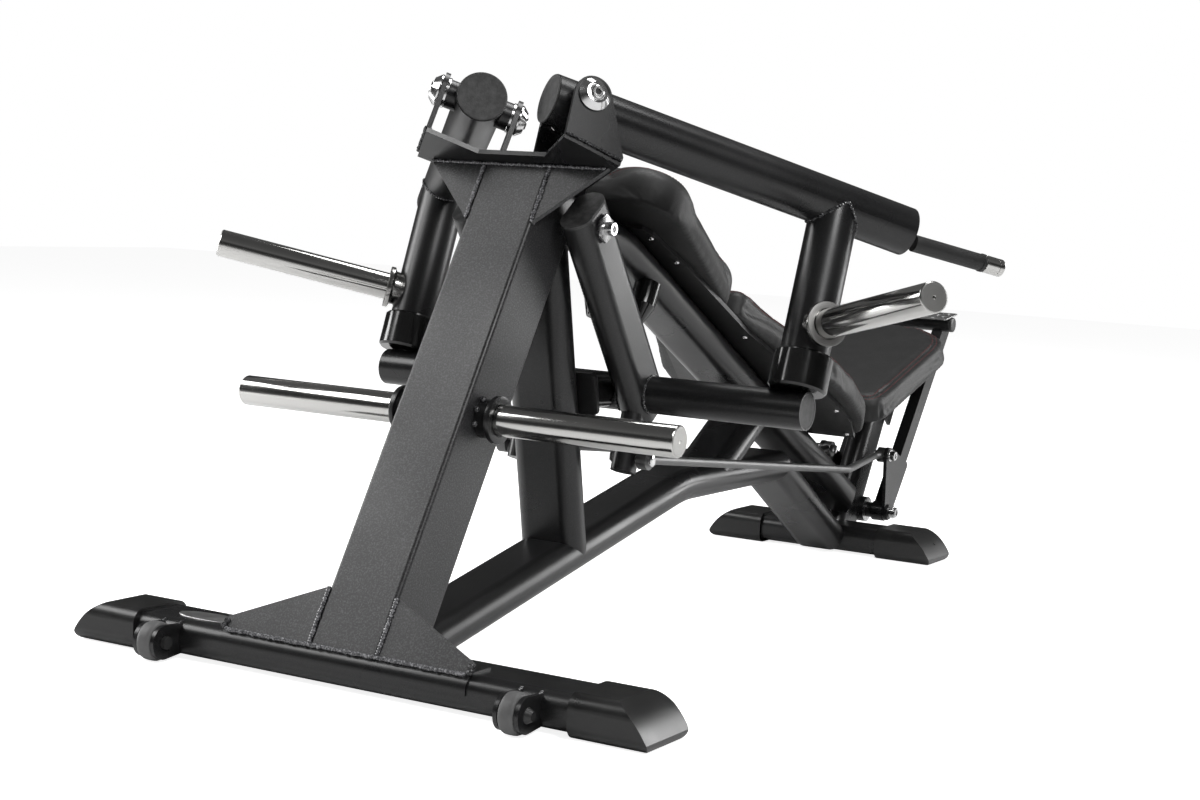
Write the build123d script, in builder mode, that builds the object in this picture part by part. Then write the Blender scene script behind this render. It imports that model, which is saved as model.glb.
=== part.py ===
from build123d import *
import os
from math import cos, radians, sin

os.makedirs("parts", exist_ok=True)

# A plate-loaded press with two swinging arms, a reclined back pad, a seat and a foot lever.
# The user sits at the front (+Y) and leans back against the pads, so the mast is behind them.
# Stations count forward from the rear edge of the rear foot; at() turns them into the part's frame.

# ---------------------------------------------------------------- tubes
ORIGIN_STATION = 1084.5
TUBE_W = 120.0
TUBE_T = 60.0
WALL_GAP = 0.4
RUNNING_GAP = 0.08

# ---------------------------------------------------------------- feet
FOOT_W = 116.0
FOOT_T = 56.0
FOOT_CORNER = 22.0
FOOT_FLOOR = 5.0
REAR_FOOT_Y = 42.0
FRONT_FOOT_Y = 1789.0
FOOT_Z = FOOT_FLOOR + FOOT_T / 2
REAR_CAP_IN = 400.0
FRONT_CAP_IN = 138.0
CAP_TOP_LENGTH = 74.0
CAP_FLOOR_LENGTH = 118.0
CAP_LENGTH = 127.0
CAP_SOCKET = 60.0
CAP_WALL = 6.0
SADDLE_T = 3.0
SADDLE_REACH = 227.0
WELD_REACH = 10.0
WHEEL_X = 331.5
WHEEL_Y = -48.0
WHEEL_Z = 32.0
WHEEL_R = 31.0
WHEEL_W = 26.0
WHEEL_SIDE_GAP = 1.0
AXLE_R = 6.0
FORK_T = 7.0
FORK_R = 27.0

# ---------------------------------------------------------------- mast and pivot bracket
MAST_LEAN = 29.7
MAST_W = 126.0
MAST_D = 120.0
MAST_REAR = -10.1
MAST_BASE_Z = 60.0
MAST_TOP = 853.4
PLATE_T = 8.0
PIVOT_X = 94.2
PIVOT_B = -30.3
PIVOT_A = 89.6
PIVOT_TURN = 38.5
EAR_IN = 60.0
EAR_OUT = EAR_IN + PLATE_T
EAR_TOP_R = 32.0
PIVOT_BOLT_R = 12.0
BOLT_DOME_R = 27.0

# ---------------------------------------------------------------- arms
ARM_R = 42.0
ARM_LENGTH = 684.0
PIVOT_FROM_REAR = 47.6
DOWN_AT = 541.0
PLUG_R = 38.0
PLUG_DEPTH = 12.0
BLOCK_R = 50.0
BLOCK_H = 65.0
BLOCK_FLOOR = 14.0
HORN_R = 25.0
HORN_SPIGOT_R = 21.0
HORN_REACH = 378.0
HORN_COLLAR = 61.0
COLLAR_R = 38.0
GRIP_R = 15.0
GRIP_LENGTH = 166.0
GRIP_CAP = 38.0

# ---------------------------------------------------------------- lift frame
LIFT_Y = 473.0
LIFT_Z = 704.0
BEAM_Y = 674.0
BEAM_Z = 420.0
BEAM_R = 32.5
BEAM_REACH = 425.5
HANGER_X = 105.0
HANGER_W = 100.0
HANGER_T = 55.0
HANGER_ABOVE = 30.0
HANGER_BELOW = 42.0
SHAFT_R = 12.0
BOSS_R = 19.0
STUB_W = 50.0
STUB_T = 40.0
STUB_FOOT_Y = 634.0
STUB_FOOT_Z = 286.0
LINK_Y = 643.0
LINK_Z = 310.0
LINK_BOLT_R = 6.0

# ---------------------------------------------------------------- spine, post, back beam
SPINE_START = (90.0, 33.0)
SPINE_BEND = (993.0, 220.0)
SPINE_END_Y = 1428.0
SPINE_BEND_R = 420.0
LEG_FALL = 30.6
POST_FOOT = (593.1, 150.7)
POST_HEAD = (475.5, 671.2)
RECLINE = 27.0
NECK_LENGTH = 240.0
BACK_ABOVE_BOARD = 139.0
BACK_BELOW_BOARD = 1190.0
BACK_BEND_R = 240.0
BACK_NOSE = 29.0
TOP_BUMPER_X = 46.0
TOP_BUMPER_BACK = -3.0
STRUT_W = 112.0
STRUT_FOOT = (1132.5, 220.0)
STRUT_HEAD = (1348.2, 352.6)

# ---------------------------------------------------------------- pads and seat
BOARD_T = 8.0
PAD_BOARD = (804.2, 628.1)
SEAT_PITCH = 17.0
SEAT_REAR = (1668.0, 350.0)
SEAT_THICK = 56.0
SEAT_POST_ON = (1913.0, 150.0)
SEAT_POST_RISE = 60.0
SEAT_POST_W = 100.0
SEAT_POST_T = 50.0

# ---------------------------------------------------------------- foot lever and link rods
LEVER_Y = 1930.0
LEVER_Z = 76.0
SLEEVE_R = 17.0
SLEEVE_IN = 33.0
SLEEVE_OUT = 88.0
LEVER_RISE = 53.0
LEVER_W = 40.0
LEVER_IN = 50.0
LEVER_OUT = 76.0
ROCKER_T = 8.0
LEVER_LENGTH = 514.6
PEDAL_LIFT = 13.4
PEDAL_R = 17.5
PEDAL_REACH = 100.0
TREAD_TILT = 8.0
ROD_R = 8.0
ROD_HEAD = (1919.0, 206.0)
ROD_HEAD_X = 60.0
ROD_STRAIGHT = 48.0
ROD_BEND_Y = 1544.0
ROD_BEND_Z = 214.0
ROD_X = 142.0
ROD_EYE_R = 17.0
ROD_EYE_T = 18.0


def at(x, station, z):
    """Point of the part: x across, station ahead of the rear foot's rear edge, z up."""
    return Vector(x, station - ORIGIN_STATION, z)


def fall(angle):
    """Direction in the plane of symmetry, pointing forward and down by the angle."""
    return Vector(0, cos(radians(angle)), -sin(radians(angle)))


def side_plane(x=0.0):
    """Sketch plane seen from the right: its x is the station and its y the height."""
    return Plane(origin=at(x, 0, 0), x_dir=(0, 1, 0), z_dir=(1, 0, 0))


def run_plane(start, end):
    """Sketch plane across a straight run, with its x along the width of the part."""
    return Plane(origin=start, x_dir=(1, 0, 0), z_dir=end - start)


def oval_run(start, end, width=TUBE_W, thick=TUBE_T, mode=Mode.ADD):
    """Flat oval tube between two points, its wide way across the part."""
    with BuildSketch(run_plane(start, end)) as section:
        SlotOverall(width, thick)
    extrude(section.sketch, amount=(end - start).length, mode=mode)


def edge_run(start, end, wide, thick, mode=Mode.ADD):
    """Flat oval tube in the plane of symmetry, its flat faces looking left and right."""
    with BuildSketch(run_plane(start, end)) as section:
        SlotOverall(wide, thick, rotation=90)
    extrude(section.sketch, amount=(end - start).length, mode=mode)


def round_run(start, end, radius, mode=Mode.ADD):
    """Round bar between two points."""
    with BuildSketch(Plane(origin=start, z_dir=end - start)) as section:
        Circle(radius)
    extrude(section.sketch, amount=(end - start).length, mode=mode)


def flat_plate(plane, points, thick, mode=Mode.ADD):
    """Flat plate on a plane, from its outline."""
    with BuildSketch(plane) as section:
        with BuildLine():
            Polyline(*points, close=True)
        make_face()
    extrude(section.sketch, amount=thick, mode=mode)


def foot_run(station, reach, skin=0.0, mode=Mode.ADD):
    """Foot tube across the machine, its wide way fore and aft, with a skin of some thickness."""
    with BuildSketch(Plane(origin=at(-reach, station, FOOT_Z), x_dir=(0, 1, 0), z_dir=(1, 0, 0))) as section:
        RectangleRounded(FOOT_W + 2 * skin, FOOT_T + 2 * skin, FOOT_CORNER + skin)
    extrude(section.sketch, amount=2 * reach, mode=mode)


def box_below(station, z, mode=Mode.SUBTRACT):
    """Block across the machine that fills all below a height and ahead of a station."""
    with BuildSketch(side_plane(-TUBE_W)) as section:
        with Locations((station, z)):
            Rectangle(400, 200, align=(Align.MIN, Align.MAX))
    extrude(section.sketch, amount=2 * TUBE_W, mode=mode)


def save(builder, name):
    """Label one piece and write it out."""
    builder.part.label = name
    export_step(builder.part, f"parts/{name}.step")


def save_pair(builder, name):
    """Write out a right-hand piece and its mirror image."""
    with BuildPart() as twin:
        mirror(builder.part, about=Plane.YZ)
    save(builder, name + "_right")
    save(twin, name + "_left")


def save_group(builder, name):
    """Write out a right-hand piece and its mirror image as one node of separate solids."""
    with BuildPart() as group:
        add(builder.part)
        mirror(builder.part, about=Plane.YZ)
    save(group, name)


# ---------------------------------------------------------------- frames of the main members
lean = radians(MAST_LEAN)
mast_plane = Plane(origin=at(0, MAST_REAR, MAST_BASE_Z), x_dir=(1, 0, 0), z_dir=(0, sin(lean), cos(lean)))
top_plane = mast_plane.offset(MAST_TOP)
turn = radians(PIVOT_TURN)
pivot = top_plane.from_local_coords(Vector(PIVOT_X, PIVOT_B, PIVOT_A))
pivot_axis = top_plane.from_local_coords(Vector(cos(turn), -sin(turn), 0)) - top_plane.origin
pivot_ahead = top_plane.from_local_coords(Vector(sin(turn), cos(turn), 0)) - top_plane.origin
ear_plane = Plane(origin=pivot, x_dir=pivot_ahead, z_dir=pivot_axis)

arm_front_hint = at(480.0, 906.2, 721.5)
arm_aim = arm_front_hint - pivot
arm_dir = (arm_aim - pivot_axis * arm_aim.dot(pivot_axis)).normalized()
arm_rear = pivot - arm_dir * PIVOT_FROM_REAR
arm_front = arm_rear + arm_dir * ARM_LENGTH
down_top = arm_rear + arm_dir * DOWN_AT
beam_below = Vector(down_top.X, at(0, BEAM_Y, 0).Y, BEAM_Z)
down_dir = (beam_below - down_top).normalized()
block_floor = beam_below - down_dir * (BEAM_R + WALL_GAP)
horn_root = down_top + down_dir * (down_top.Z - 554.6) / (-down_dir.Z)
horn_aim = Vector(0.79, -0.571, 0.224)
horn_dir = (horn_aim - down_dir * horn_aim.dot(down_dir)).normalized()
grip_dir = Vector(0.6, 0.76, -0.2).normalized()
grip_root = arm_front - arm_dir * 4.0 + Vector(0, 0, -16.0)

recline = fall(RECLINE)
board_up = Vector(0, sin(radians(RECLINE)), cos(radians(RECLINE)))
board_plane = Plane(origin=at(0, *PAD_BOARD), x_dir=(1, 0, 0), z_dir=board_up)

seat_pitch = radians(SEAT_PITCH)
seat_up = Vector(0, -sin(seat_pitch), cos(seat_pitch))
seat_plane = Plane(origin=at(0, *SEAT_REAR), x_dir=(1, 0, 0), z_dir=seat_up)

post_rise = radians(SEAT_POST_RISE)
post_up = Vector(0, cos(post_rise), sin(post_rise))
post_out = Vector(0, sin(post_rise), -cos(post_rise))
post_on = at(0, *SEAT_POST_ON)

lever_rise = radians(LEVER_RISE)
lever_up = Vector(0, cos(lever_rise), sin(lever_rise))
lever_out = Vector(0, sin(lever_rise), -cos(lever_rise))
hanger_dir = (at(0, 663.0, 442.3) - at(0, 506.0, 654.6)).normalized()


# ================================================================ feet
with BuildPart() as rear_foot:
    foot_run(REAR_FOOT_Y, REAR_CAP_IN + CAP_SOCKET)
save(rear_foot, "rear_foot")

with BuildPart() as front_foot:
    foot_run(FRONT_FOOT_Y, FRONT_CAP_IN + CAP_SOCKET)
save(front_foot, "front_foot")


def foot_cap(station, inner):
    """Moulded cap on the right-hand end of a foot, sloping down to a rounded nose."""
    cap_top = 2 * FOOT_Z
    end_plane = Plane(origin=at(inner, station, FOOT_Z), x_dir=(0, 1, 0), z_dir=(1, 0, 0))
    with BuildSketch(end_plane) as outside:
        RectangleRounded(FOOT_W + 2 * CAP_WALL, cap_top, FOOT_CORNER)
    extrude(outside.sketch, amount=CAP_LENGTH)
    with BuildSketch(Plane(origin=at(inner, station + FOOT_W, 0), x_dir=(1, 0, 0), z_dir=(0, -1, 0))) as nose:
        with BuildLine():
            Polyline((CAP_TOP_LENGTH, cap_top), (-CAP_LENGTH, cap_top), (-CAP_LENGTH, 0), (CAP_FLOOR_LENGTH, 0))
            ThreePointArc((CAP_FLOOR_LENGTH, 0), (CAP_LENGTH - 2, 5), (CAP_LENGTH, 14))
            ThreePointArc((CAP_LENGTH, 14), ((CAP_LENGTH + CAP_TOP_LENGTH) / 2 + 5, 0.65 * cap_top),
                          (CAP_TOP_LENGTH, cap_top))
        make_face()
    extrude(nose.sketch, amount=2 * FOOT_W, mode=Mode.INTERSECT)
    with BuildSketch(end_plane) as socket:
        RectangleRounded(FOOT_W, FOOT_T, FOOT_CORNER)
    extrude(socket.sketch, amount=CAP_SOCKET, mode=Mode.SUBTRACT)


with BuildPart() as rear_cap:
    foot_cap(REAR_FOOT_Y, REAR_CAP_IN)
with BuildPart() as front_cap:
    foot_cap(FRONT_FOOT_Y, FRONT_CAP_IN)
with BuildPart() as foot_caps:
    add(rear_cap.part)
    add(front_cap.part)
save_group(foot_caps, "foot_caps")

# ================================================================ transport wheels
fork_in = WHEEL_W / 2 + WHEEL_SIDE_GAP
foot_rear = REAR_FOOT_Y - FOOT_W / 2
with BuildPart() as wheel_fork:
    for inner in (-fork_in - FORK_T, fork_in):
        with BuildSketch(side_plane(WHEEL_X + inner)) as fork_side:
            with Locations((WHEEL_Y, WHEEL_Z)):
                Circle(FORK_R)
            with Locations((foot_rear + FOOT_CORNER / 2, FOOT_Z)):
                Rectangle(FOOT_CORNER, FOOT_T - 12)
            make_hull()
        extrude(fork_side.sketch, amount=FORK_T)
    round_run(at(WHEEL_X - TUBE_W, WHEEL_Y, WHEEL_Z), at(WHEEL_X + TUBE_W, WHEEL_Y, WHEEL_Z), AXLE_R,
              mode=Mode.SUBTRACT)
    foot_run(REAR_FOOT_Y, REAR_CAP_IN, mode=Mode.SUBTRACT)
save_group(wheel_fork, "wheel_forks")

axle_half = fork_in + FORK_T
with BuildPart() as wheel_axle:
    round_run(at(WHEEL_X - axle_half, WHEEL_Y, WHEEL_Z), at(WHEEL_X + axle_half, WHEEL_Y, WHEEL_Z), AXLE_R)
    round_run(at(WHEEL_X - axle_half - 6, WHEEL_Y, WHEEL_Z), at(WHEEL_X - axle_half, WHEEL_Y, WHEEL_Z), 10)
    with BuildSketch(side_plane(WHEEL_X + axle_half)) as bolt_head:
        with Locations((WHEEL_Y, WHEEL_Z)):
            Circle(12)
    extrude(bolt_head.sketch, amount=9, taper=30)
save_group(wheel_axle, "wheel_axles")

with BuildPart() as wheel:
    with BuildSketch(side_plane(WHEEL_X - WHEEL_W / 2)):
        with Locations((WHEEL_Y, WHEEL_Z)):
            Circle(WHEEL_R)
            Circle(AXLE_R + RUNNING_GAP, mode=Mode.SUBTRACT)
    extrude(amount=WHEEL_W)
    fillet(wheel.edges().filter_by(GeomType.CIRCLE).group_by(SortBy.RADIUS)[-1], 4)
save_pair(wheel, "transport_wheel")

# ================================================================ mast
shaft_start = at(-150, LIFT_Y, LIFT_Z)
shaft_end = at(150, LIFT_Y, LIFT_Z)
with BuildPart() as mast:
    with BuildSketch(mast_plane.offset(-WELD_REACH)):
        with Locations((0, MAST_D / 2)):
            RectangleRounded(MAST_W, MAST_D, 7)
    extrude(amount=WELD_REACH + MAST_TOP)
    foot_run(REAR_FOOT_Y, REAR_CAP_IN, skin=SADDLE_T, mode=Mode.SUBTRACT)
    box_below(REAR_FOOT_Y, FOOT_Z + FOOT_T / 2 + SADDLE_T)
    boss_reach = HANGER_X - HANGER_T / 2 - WALL_GAP
    round_run(at(-boss_reach, LIFT_Y, LIFT_Z), at(boss_reach, LIFT_Y, LIFT_Z), BOSS_R)
    round_run(shaft_start, shaft_end, SHAFT_R, mode=Mode.SUBTRACT)
save(mast, "mast")

half_mast = MAST_W / 2
mast_ahead = mast_plane.y_dir
gusset_plane = Plane(origin=mast_plane.origin, x_dir=(1, 0, 0), z_dir=-mast_ahead)
with BuildPart() as gusset:
    flat_plate(gusset_plane, [(half_mast, 746.9), (170.4, MAST_TOP), (half_mast, MAST_TOP)], -PLATE_T)
    flat_plate(gusset_plane, [(half_mast, 97.4), (SADDLE_REACH, 22.3), (SADDLE_REACH, -WELD_REACH),
                              (half_mast, -WELD_REACH)], -PLATE_T)
    foot_run(REAR_FOOT_Y, REAR_CAP_IN, skin=SADDLE_T, mode=Mode.SUBTRACT)
save_group(gusset, "mast_gussets")

with BuildPart() as mast_saddle:
    foot_run(REAR_FOOT_Y, SADDLE_REACH, skin=SADDLE_T)
    foot_run(REAR_FOOT_Y, REAR_CAP_IN, mode=Mode.SUBTRACT)
    split(bisect_by=Plane.XY.offset(FOOT_Z), keep=Keep.TOP)
    split(bisect_by=Plane.XZ.offset(-at(0, REAR_FOOT_Y + CAP_WALL, 0).Y), keep=Keep.TOP)
save(mast_saddle, "mast_saddle")

# ================================================================ pivot bracket
with BuildPart() as pivot_bracket:
    flat_plate(top_plane, [(0, -27), (64, -27), (131, -89), (195, -8), (94, 73), (66, 119), (0, 119)], PLATE_T)
    for inner in (-EAR_OUT, EAR_IN):
        with BuildSketch(ear_plane.offset(inner)):
            Circle(EAR_TOP_R)
            with Locations((28.5, PLATE_T - PIVOT_A + 3)):
                Rectangle(103, 6)
            make_hull()
        extrude(amount=PLATE_T)
    round_run(pivot - pivot_axis * 100, pivot + pivot_axis * 100, PIVOT_BOLT_R + RUNNING_GAP, mode=Mode.SUBTRACT)
    mirror(about=Plane.YZ)
save(pivot_bracket, "pivot_bracket")

# ================================================================ spine, front leg and rear post
spine_start = at(0, *SPINE_START)
spine_bend = at(0, *SPINE_BEND)
spine_end = at(0, SPINE_END_Y, SPINE_BEND[1])
leg_dir = fall(LEG_FALL)
leg_start = spine_end - leg_dir * TUBE_W
leg_end = spine_end + leg_dir * 420
mitre = Plane(origin=spine_end, x_dir=(1, 0, 0), z_dir=fall(LEG_FALL / 2))
with BuildPart() as spine:
    with BuildLine():
        spine_path = FilletPolyline(spine_start - (spine_bend - spine_start).normalized() * TUBE_T,
                                    spine_bend, spine_end + Vector(0, TUBE_W, 0), radius=SPINE_BEND_R)
    with BuildSketch(Plane(origin=spine_path @ 0, x_dir=(1, 0, 0), z_dir=spine_path % 0)):
        SlotOverall(TUBE_W, TUBE_T)
    sweep(path=spine_path)
    split(bisect_by=mitre, keep=Keep.BOTTOM)
    add(mast.part, mode=Mode.SUBTRACT)
    foot_run(REAR_FOOT_Y, REAR_CAP_IN, mode=Mode.SUBTRACT)
    split(bisect_by=Plane.XZ.offset(-at(0, REAR_FOOT_Y + FOOT_T / 2, 0).Y), keep=Keep.BOTTOM)
    split(bisect_by=Plane.XY.offset(FOOT_FLOOR), keep=Keep.TOP)
save(spine, "spine")

with BuildPart() as front_leg:
    oval_run(leg_start, leg_end)
    split(bisect_by=mitre, keep=Keep.TOP)
    foot_run(FRONT_FOOT_Y, FRONT_CAP_IN, mode=Mode.SUBTRACT)
    box_below(FRONT_FOOT_Y - FOOT_W / 2, FOOT_Z)
save(front_leg, "front_leg")

post_foot = at(0, *POST_FOOT)
post_head = at(0, *POST_HEAD)
with BuildPart() as rear_post:
    oval_run(post_foot - (post_head - post_foot).normalized() * TUBE_T, post_head)
    oval_run(spine_start, spine_bend, mode=Mode.SUBTRACT)
    split(bisect_by=Plane(origin=spine_start, x_dir=(1, 0, 0), z_dir=(spine_bend - spine_start).cross(Vector(-1, 0, 0))),
          keep=Keep.TOP)
    add(mast.part, mode=Mode.SUBTRACT)
save(rear_post, "rear_post")

# ================================================================ back beam and strut
mast_front = Plane(origin=mast_plane.origin + mast_ahead * MAST_D, z_dir=mast_ahead)
back_bend = board_plane.origin - recline * BACK_ABOVE_BOARD
post_rear = post_on - post_out * (SEAT_POST_W / 2)
beam_nose = board_plane.origin + recline * ((post_rear - board_plane.origin).dot(post_out) / recline.dot(post_out))
with BuildPart() as back_beam:
    with BuildLine():
        back_path = FilletPolyline(back_bend - Vector(0, NECK_LENGTH, 0), back_bend,
                                   board_plane.origin + recline * BACK_BELOW_BOARD, radius=BACK_BEND_R)
    with BuildSketch(Plane(origin=back_path @ 0, x_dir=(1, 0, 0), z_dir=back_path % 0)):
        SlotOverall(TUBE_W, TUBE_T)
    sweep(path=back_path)
    split(bisect_by=mast_front, keep=Keep.TOP)
    add(rear_post.part, mode=Mode.SUBTRACT)
    split(bisect_by=Plane(origin=post_rear, z_dir=post_out), keep=Keep.BOTTOM)
    for side in (1, -1):
        nose_corner = beam_nose + Vector(side * BACK_NOSE, 0, 0)
        split(bisect_by=Plane(origin=nose_corner, z_dir=recline * 0.55 + Vector(side * 0.83, 0, 0)), keep=Keep.BOTTOM)
save(back_beam, "back_beam")

strut_foot = at(0, *STRUT_FOOT)
strut_head = at(0, *STRUT_HEAD)
with BuildPart() as strut:
    oval_run(strut_foot, strut_head, width=STRUT_W)
    add(spine.part, mode=Mode.SUBTRACT)
    add(back_beam.part, mode=Mode.SUBTRACT)
    split(bisect_by=Plane.XY.offset(SPINE_BEND[1]), keep=Keep.TOP)
save(strut, "back_beam_strut")

# ================================================================ back board and pads
board_h = TUBE_T / 2
with BuildPart() as back_board:
    with BuildSketch(board_plane.offset(board_h)):
        with BuildLine():
            Polyline((0, -105), (66, -105), (78, -85), (93, 47), (103, 320), (123, 417), (166, 589),
                     (172, 662), (168, 740), (146, 826), (0, 826), close=True)
        make_face()
    extrude(amount=BOARD_T)
    mirror(about=Plane.YZ)
save(back_board, "back_board")

screw_spots = [(68, -70), (79, 21), (88, 337), (158, 677), (136, 806)]
with BuildPart() as board_screw:
    with BuildSketch(board_plane.offset(board_h)):
        with Locations(*screw_spots):
            Circle(5.5)
    extrude(amount=-3.5)
save_group(board_screw, "board_screws")

pad_floor = board_h + BOARD_T + 0.3
with BuildPart() as upper_pad:
    with BuildSketch(board_plane.offset(pad_floor)):
        with Locations((55, -105), (-55, -105)):
            Circle(95)
        with Locations((50, 192), (-50, 192)):
            Circle(56)
        make_hull()
    extrude(amount=86)
    fillet(upper_pad.faces().sort_by(Axis(board_plane.origin, board_up))[-1].edges(), 30)
save(upper_pad, "upper_back_pad")

with BuildPart() as lower_pad:
    with BuildSketch(board_plane.offset(pad_floor)):
        with BuildLine():
            half = Polyline((0, 252), (106, 252), (126, 345), (160, 450), (200, 560), (207, 640),
                            (197, 740), (166, 820), (118, 846), (0, 846), close=True)
        make_face()
    extrude(amount=62)
    mirror(about=Plane.YZ)
    fillet(lower_pad.faces().sort_by(Axis(board_plane.origin, board_up))[-1].edges(), 18)
save(lower_pad, "lower_back_pad")

# ================================================================ seat
with BuildPart() as seat_cushion:
    with BuildSketch(seat_plane.offset(-SEAT_THICK)):
        with Locations((105, 45), (-105, 45)):
            Circle(45)
        with Locations((0, 362)):
            Circle(152)
        make_hull()
    extrude(amount=SEAT_THICK)
    fillet(seat_cushion.faces().sort_by(Axis(seat_plane.origin, seat_up))[-1].edges(), 18)
save(seat_cushion, "seat_cushion")

seat_floor = SEAT_THICK + 0.3
seat_under = Plane(origin=seat_plane.origin - seat_up * (seat_floor + PLATE_T), x_dir=(1, 0, 0), z_dir=seat_up)
with BuildPart() as seat_post:
    edge_run(post_on - post_up * 140, post_on + post_up * 400, SEAT_POST_W, SEAT_POST_T)
    split(bisect_by=seat_under, keep=Keep.BOTTOM)
    foot_run(FRONT_FOOT_Y, FRONT_CAP_IN, mode=Mode.SUBTRACT)
    split(bisect_by=Plane.XY.offset(FOOT_Z - 8), keep=Keep.TOP)
    with BuildSketch(side_plane(-TUBE_W)):
        with Locations((FRONT_FOOT_Y, FOOT_Z)):
            Rectangle(FOOT_W, FOOT_W, align=(Align.MAX, Align.CENTER))
    extrude(amount=2 * TUBE_W, mode=Mode.SUBTRACT)
    round_run(at(-SLEEVE_IN, LEVER_Y, LEVER_Z), at(SLEEVE_IN, LEVER_Y, LEVER_Z), 28, mode=Mode.SUBTRACT)
save(seat_post, "seat_post")

with BuildPart() as seat_bracket:
    flat_plate(side_plane(SEAT_POST_T / 2), [(1951, 330), (1990, 430), (2138, 470), (2068, 318), (2034, 262)],
               PLATE_T)
    split(bisect_by=seat_under, keep=Keep.BOTTOM)
    mirror(about=Plane.YZ)
    with BuildSketch(seat_under):
        with Locations((0, 250)):
            RectangleRounded(230, 360, 30)
    extrude(amount=PLATE_T)
save(seat_bracket, "seat_bracket")

# ================================================================ foot lever pivot housing
with BuildPart() as lever_housing:
    round_run(at(-SLEEVE_IN, LEVER_Y, LEVER_Z), at(SLEEVE_IN, LEVER_Y, LEVER_Z), 28)
    round_run(at(-SLEEVE_IN, LEVER_Y, LEVER_Z), at(SLEEVE_IN, LEVER_Y, LEVER_Z), SHAFT_R, mode=Mode.SUBTRACT)
save(lever_housing, "lever_housing")

lever_shaft_half = SLEEVE_OUT + ROCKER_T
with BuildPart() as lever_shaft:
    round_run(at(-lever_shaft_half, LEVER_Y, LEVER_Z), at(lever_shaft_half, LEVER_Y, LEVER_Z), SHAFT_R)
    for side in (1, -1):
        round_run(at(side * lever_shaft_half, LEVER_Y, LEVER_Z),
                  at(side * (lever_shaft_half + 9), LEVER_Y, LEVER_Z), 15)
save(lever_shaft, "lever_shaft")

# ================================================================ storage horns on the mast
store_y = 250.6
store_z = 400.1
store_tip = 410.9
store_collar = 94.5
with BuildPart() as storage_horn:
    round_run(at(half_mast, store_y, store_z), at(store_collar, store_y, store_z), HORN_SPIGOT_R)
    round_run(at(store_collar, store_y, store_z), at(store_tip, store_y, store_z), HORN_R)
    chamfer(storage_horn.faces().sort_by(Axis.X)[-1].edges(), 2)
save_group(storage_horn, "storage_horns")

with BuildPart() as storage_collar:
    round_run(at(half_mast, store_y, store_z), at(store_collar - 9, store_y, store_z), 31)
    round_run(at(store_collar - 9, store_y, store_z), at(store_collar, store_y, store_z), COLLAR_R)
    round_run(at(half_mast, store_y, store_z), at(store_collar, store_y, store_z), HORN_SPIGOT_R,
              mode=Mode.SUBTRACT)
    chamfer(storage_collar.edges().group_by(Axis.X)[-1].sort_by(SortBy.RADIUS)[-1], 1.5)
save_group(storage_collar, "storage_horn_collars")

# ================================================================ lift pivot shaft and stops
shaft_reach = HANGER_X + HANGER_T / 2 + 2
with BuildPart() as lift_shaft:
    round_run(at(-shaft_reach, LIFT_Y, LIFT_Z), at(shaft_reach, LIFT_Y, LIFT_Z), SHAFT_R)
    for side in (1, -1):
        round_run(at(side * shaft_reach, LIFT_Y, LIFT_Z), at(side * (shaft_reach + 5), LIFT_Y, LIFT_Z), 20)
        round_run(at(side * (shaft_reach + 5), LIFT_Y, LIFT_Z), at(side * (shaft_reach + 19), LIFT_Y, LIFT_Z), 13)
save(lift_shaft, "lift_shaft")

post_aim = (post_head - post_foot).normalized()
post_front = Vector(0, -post_aim.Z, post_aim.Y) * -1
stop_centre = post_foot + post_aim * ((BEAM_Z - 6 - post_foot.Z) / post_aim.Z) + post_front * (TUBE_T / 2)
stop_plane = Plane(origin=stop_centre, x_dir=(1, 0, 0), z_dir=post_front)
with BuildPart() as stop_plate:
    with BuildSketch(stop_plane):
        RectangleRounded(170, 74, 10)
    extrude(amount=PLATE_T)
save(stop_plate, "rest_stop_plate")

bumper_x = 50.0
stop_face = stop_centre.Y + PLATE_T + 0.3
beam_back = at(0, BEAM_Y, 0).Y - BEAM_R
with BuildPart() as rest_bumper:
    bumper_root = Vector(bumper_x, at(0, BEAM_Y, 0).Y, BEAM_Z)
    bumper_tip = stop_plane.from_local_coords(Vector(bumper_x, 0, PLATE_T + WALL_GAP))
    bumper_aim = (bumper_tip - bumper_root).normalized()
    round_run(bumper_root, bumper_tip, 28)
    round_run(Vector(0, bumper_root.Y, BEAM_Z), Vector(TUBE_W, bumper_root.Y, BEAM_Z), BEAM_R, mode=Mode.SUBTRACT)
    split(bisect_by=Plane(origin=stop_centre + post_front * (PLATE_T + WALL_GAP), z_dir=post_front), keep=Keep.TOP)
save_group(rest_bumper, "rest_bumpers")

under = -board_up
with BuildPart() as top_bumper:
    stud_root = board_plane.origin - recline * TOP_BUMPER_BACK + Vector(TOP_BUMPER_X, 0, 0) + under * 24
    stud_mid = stud_root + under * 44
    round_run(stud_root, stud_mid, 24)
    with BuildSketch(Plane(origin=stud_mid, z_dir=under)):
        Circle(24)
    extrude(amount=30, taper=22)
    add(back_beam.part, mode=Mode.SUBTRACT)
save_group(top_bumper, "top_bumpers")

# ================================================================ press arms
pin_end = EAR_OUT + 17
with BuildPart() as pivot_bolt:
    for side in (1, -1):
        dome_root = pivot + pivot_axis * side * (EAR_OUT + WALL_GAP)
        round_run(dome_root, pivot + pivot_axis * side * (pin_end - 3), BOLT_DOME_R)
    dome_faces = pivot_bolt.faces().sort_by(Axis(pivot, pivot_axis))
    fillet(dome_faces[0].edges() + dome_faces[-1].edges(), 9)
    round_run(pivot - pivot_axis * pin_end, pivot + pivot_axis * pin_end, PIVOT_BOLT_R)
save_pair(pivot_bolt, "pivot_bolt")

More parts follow.
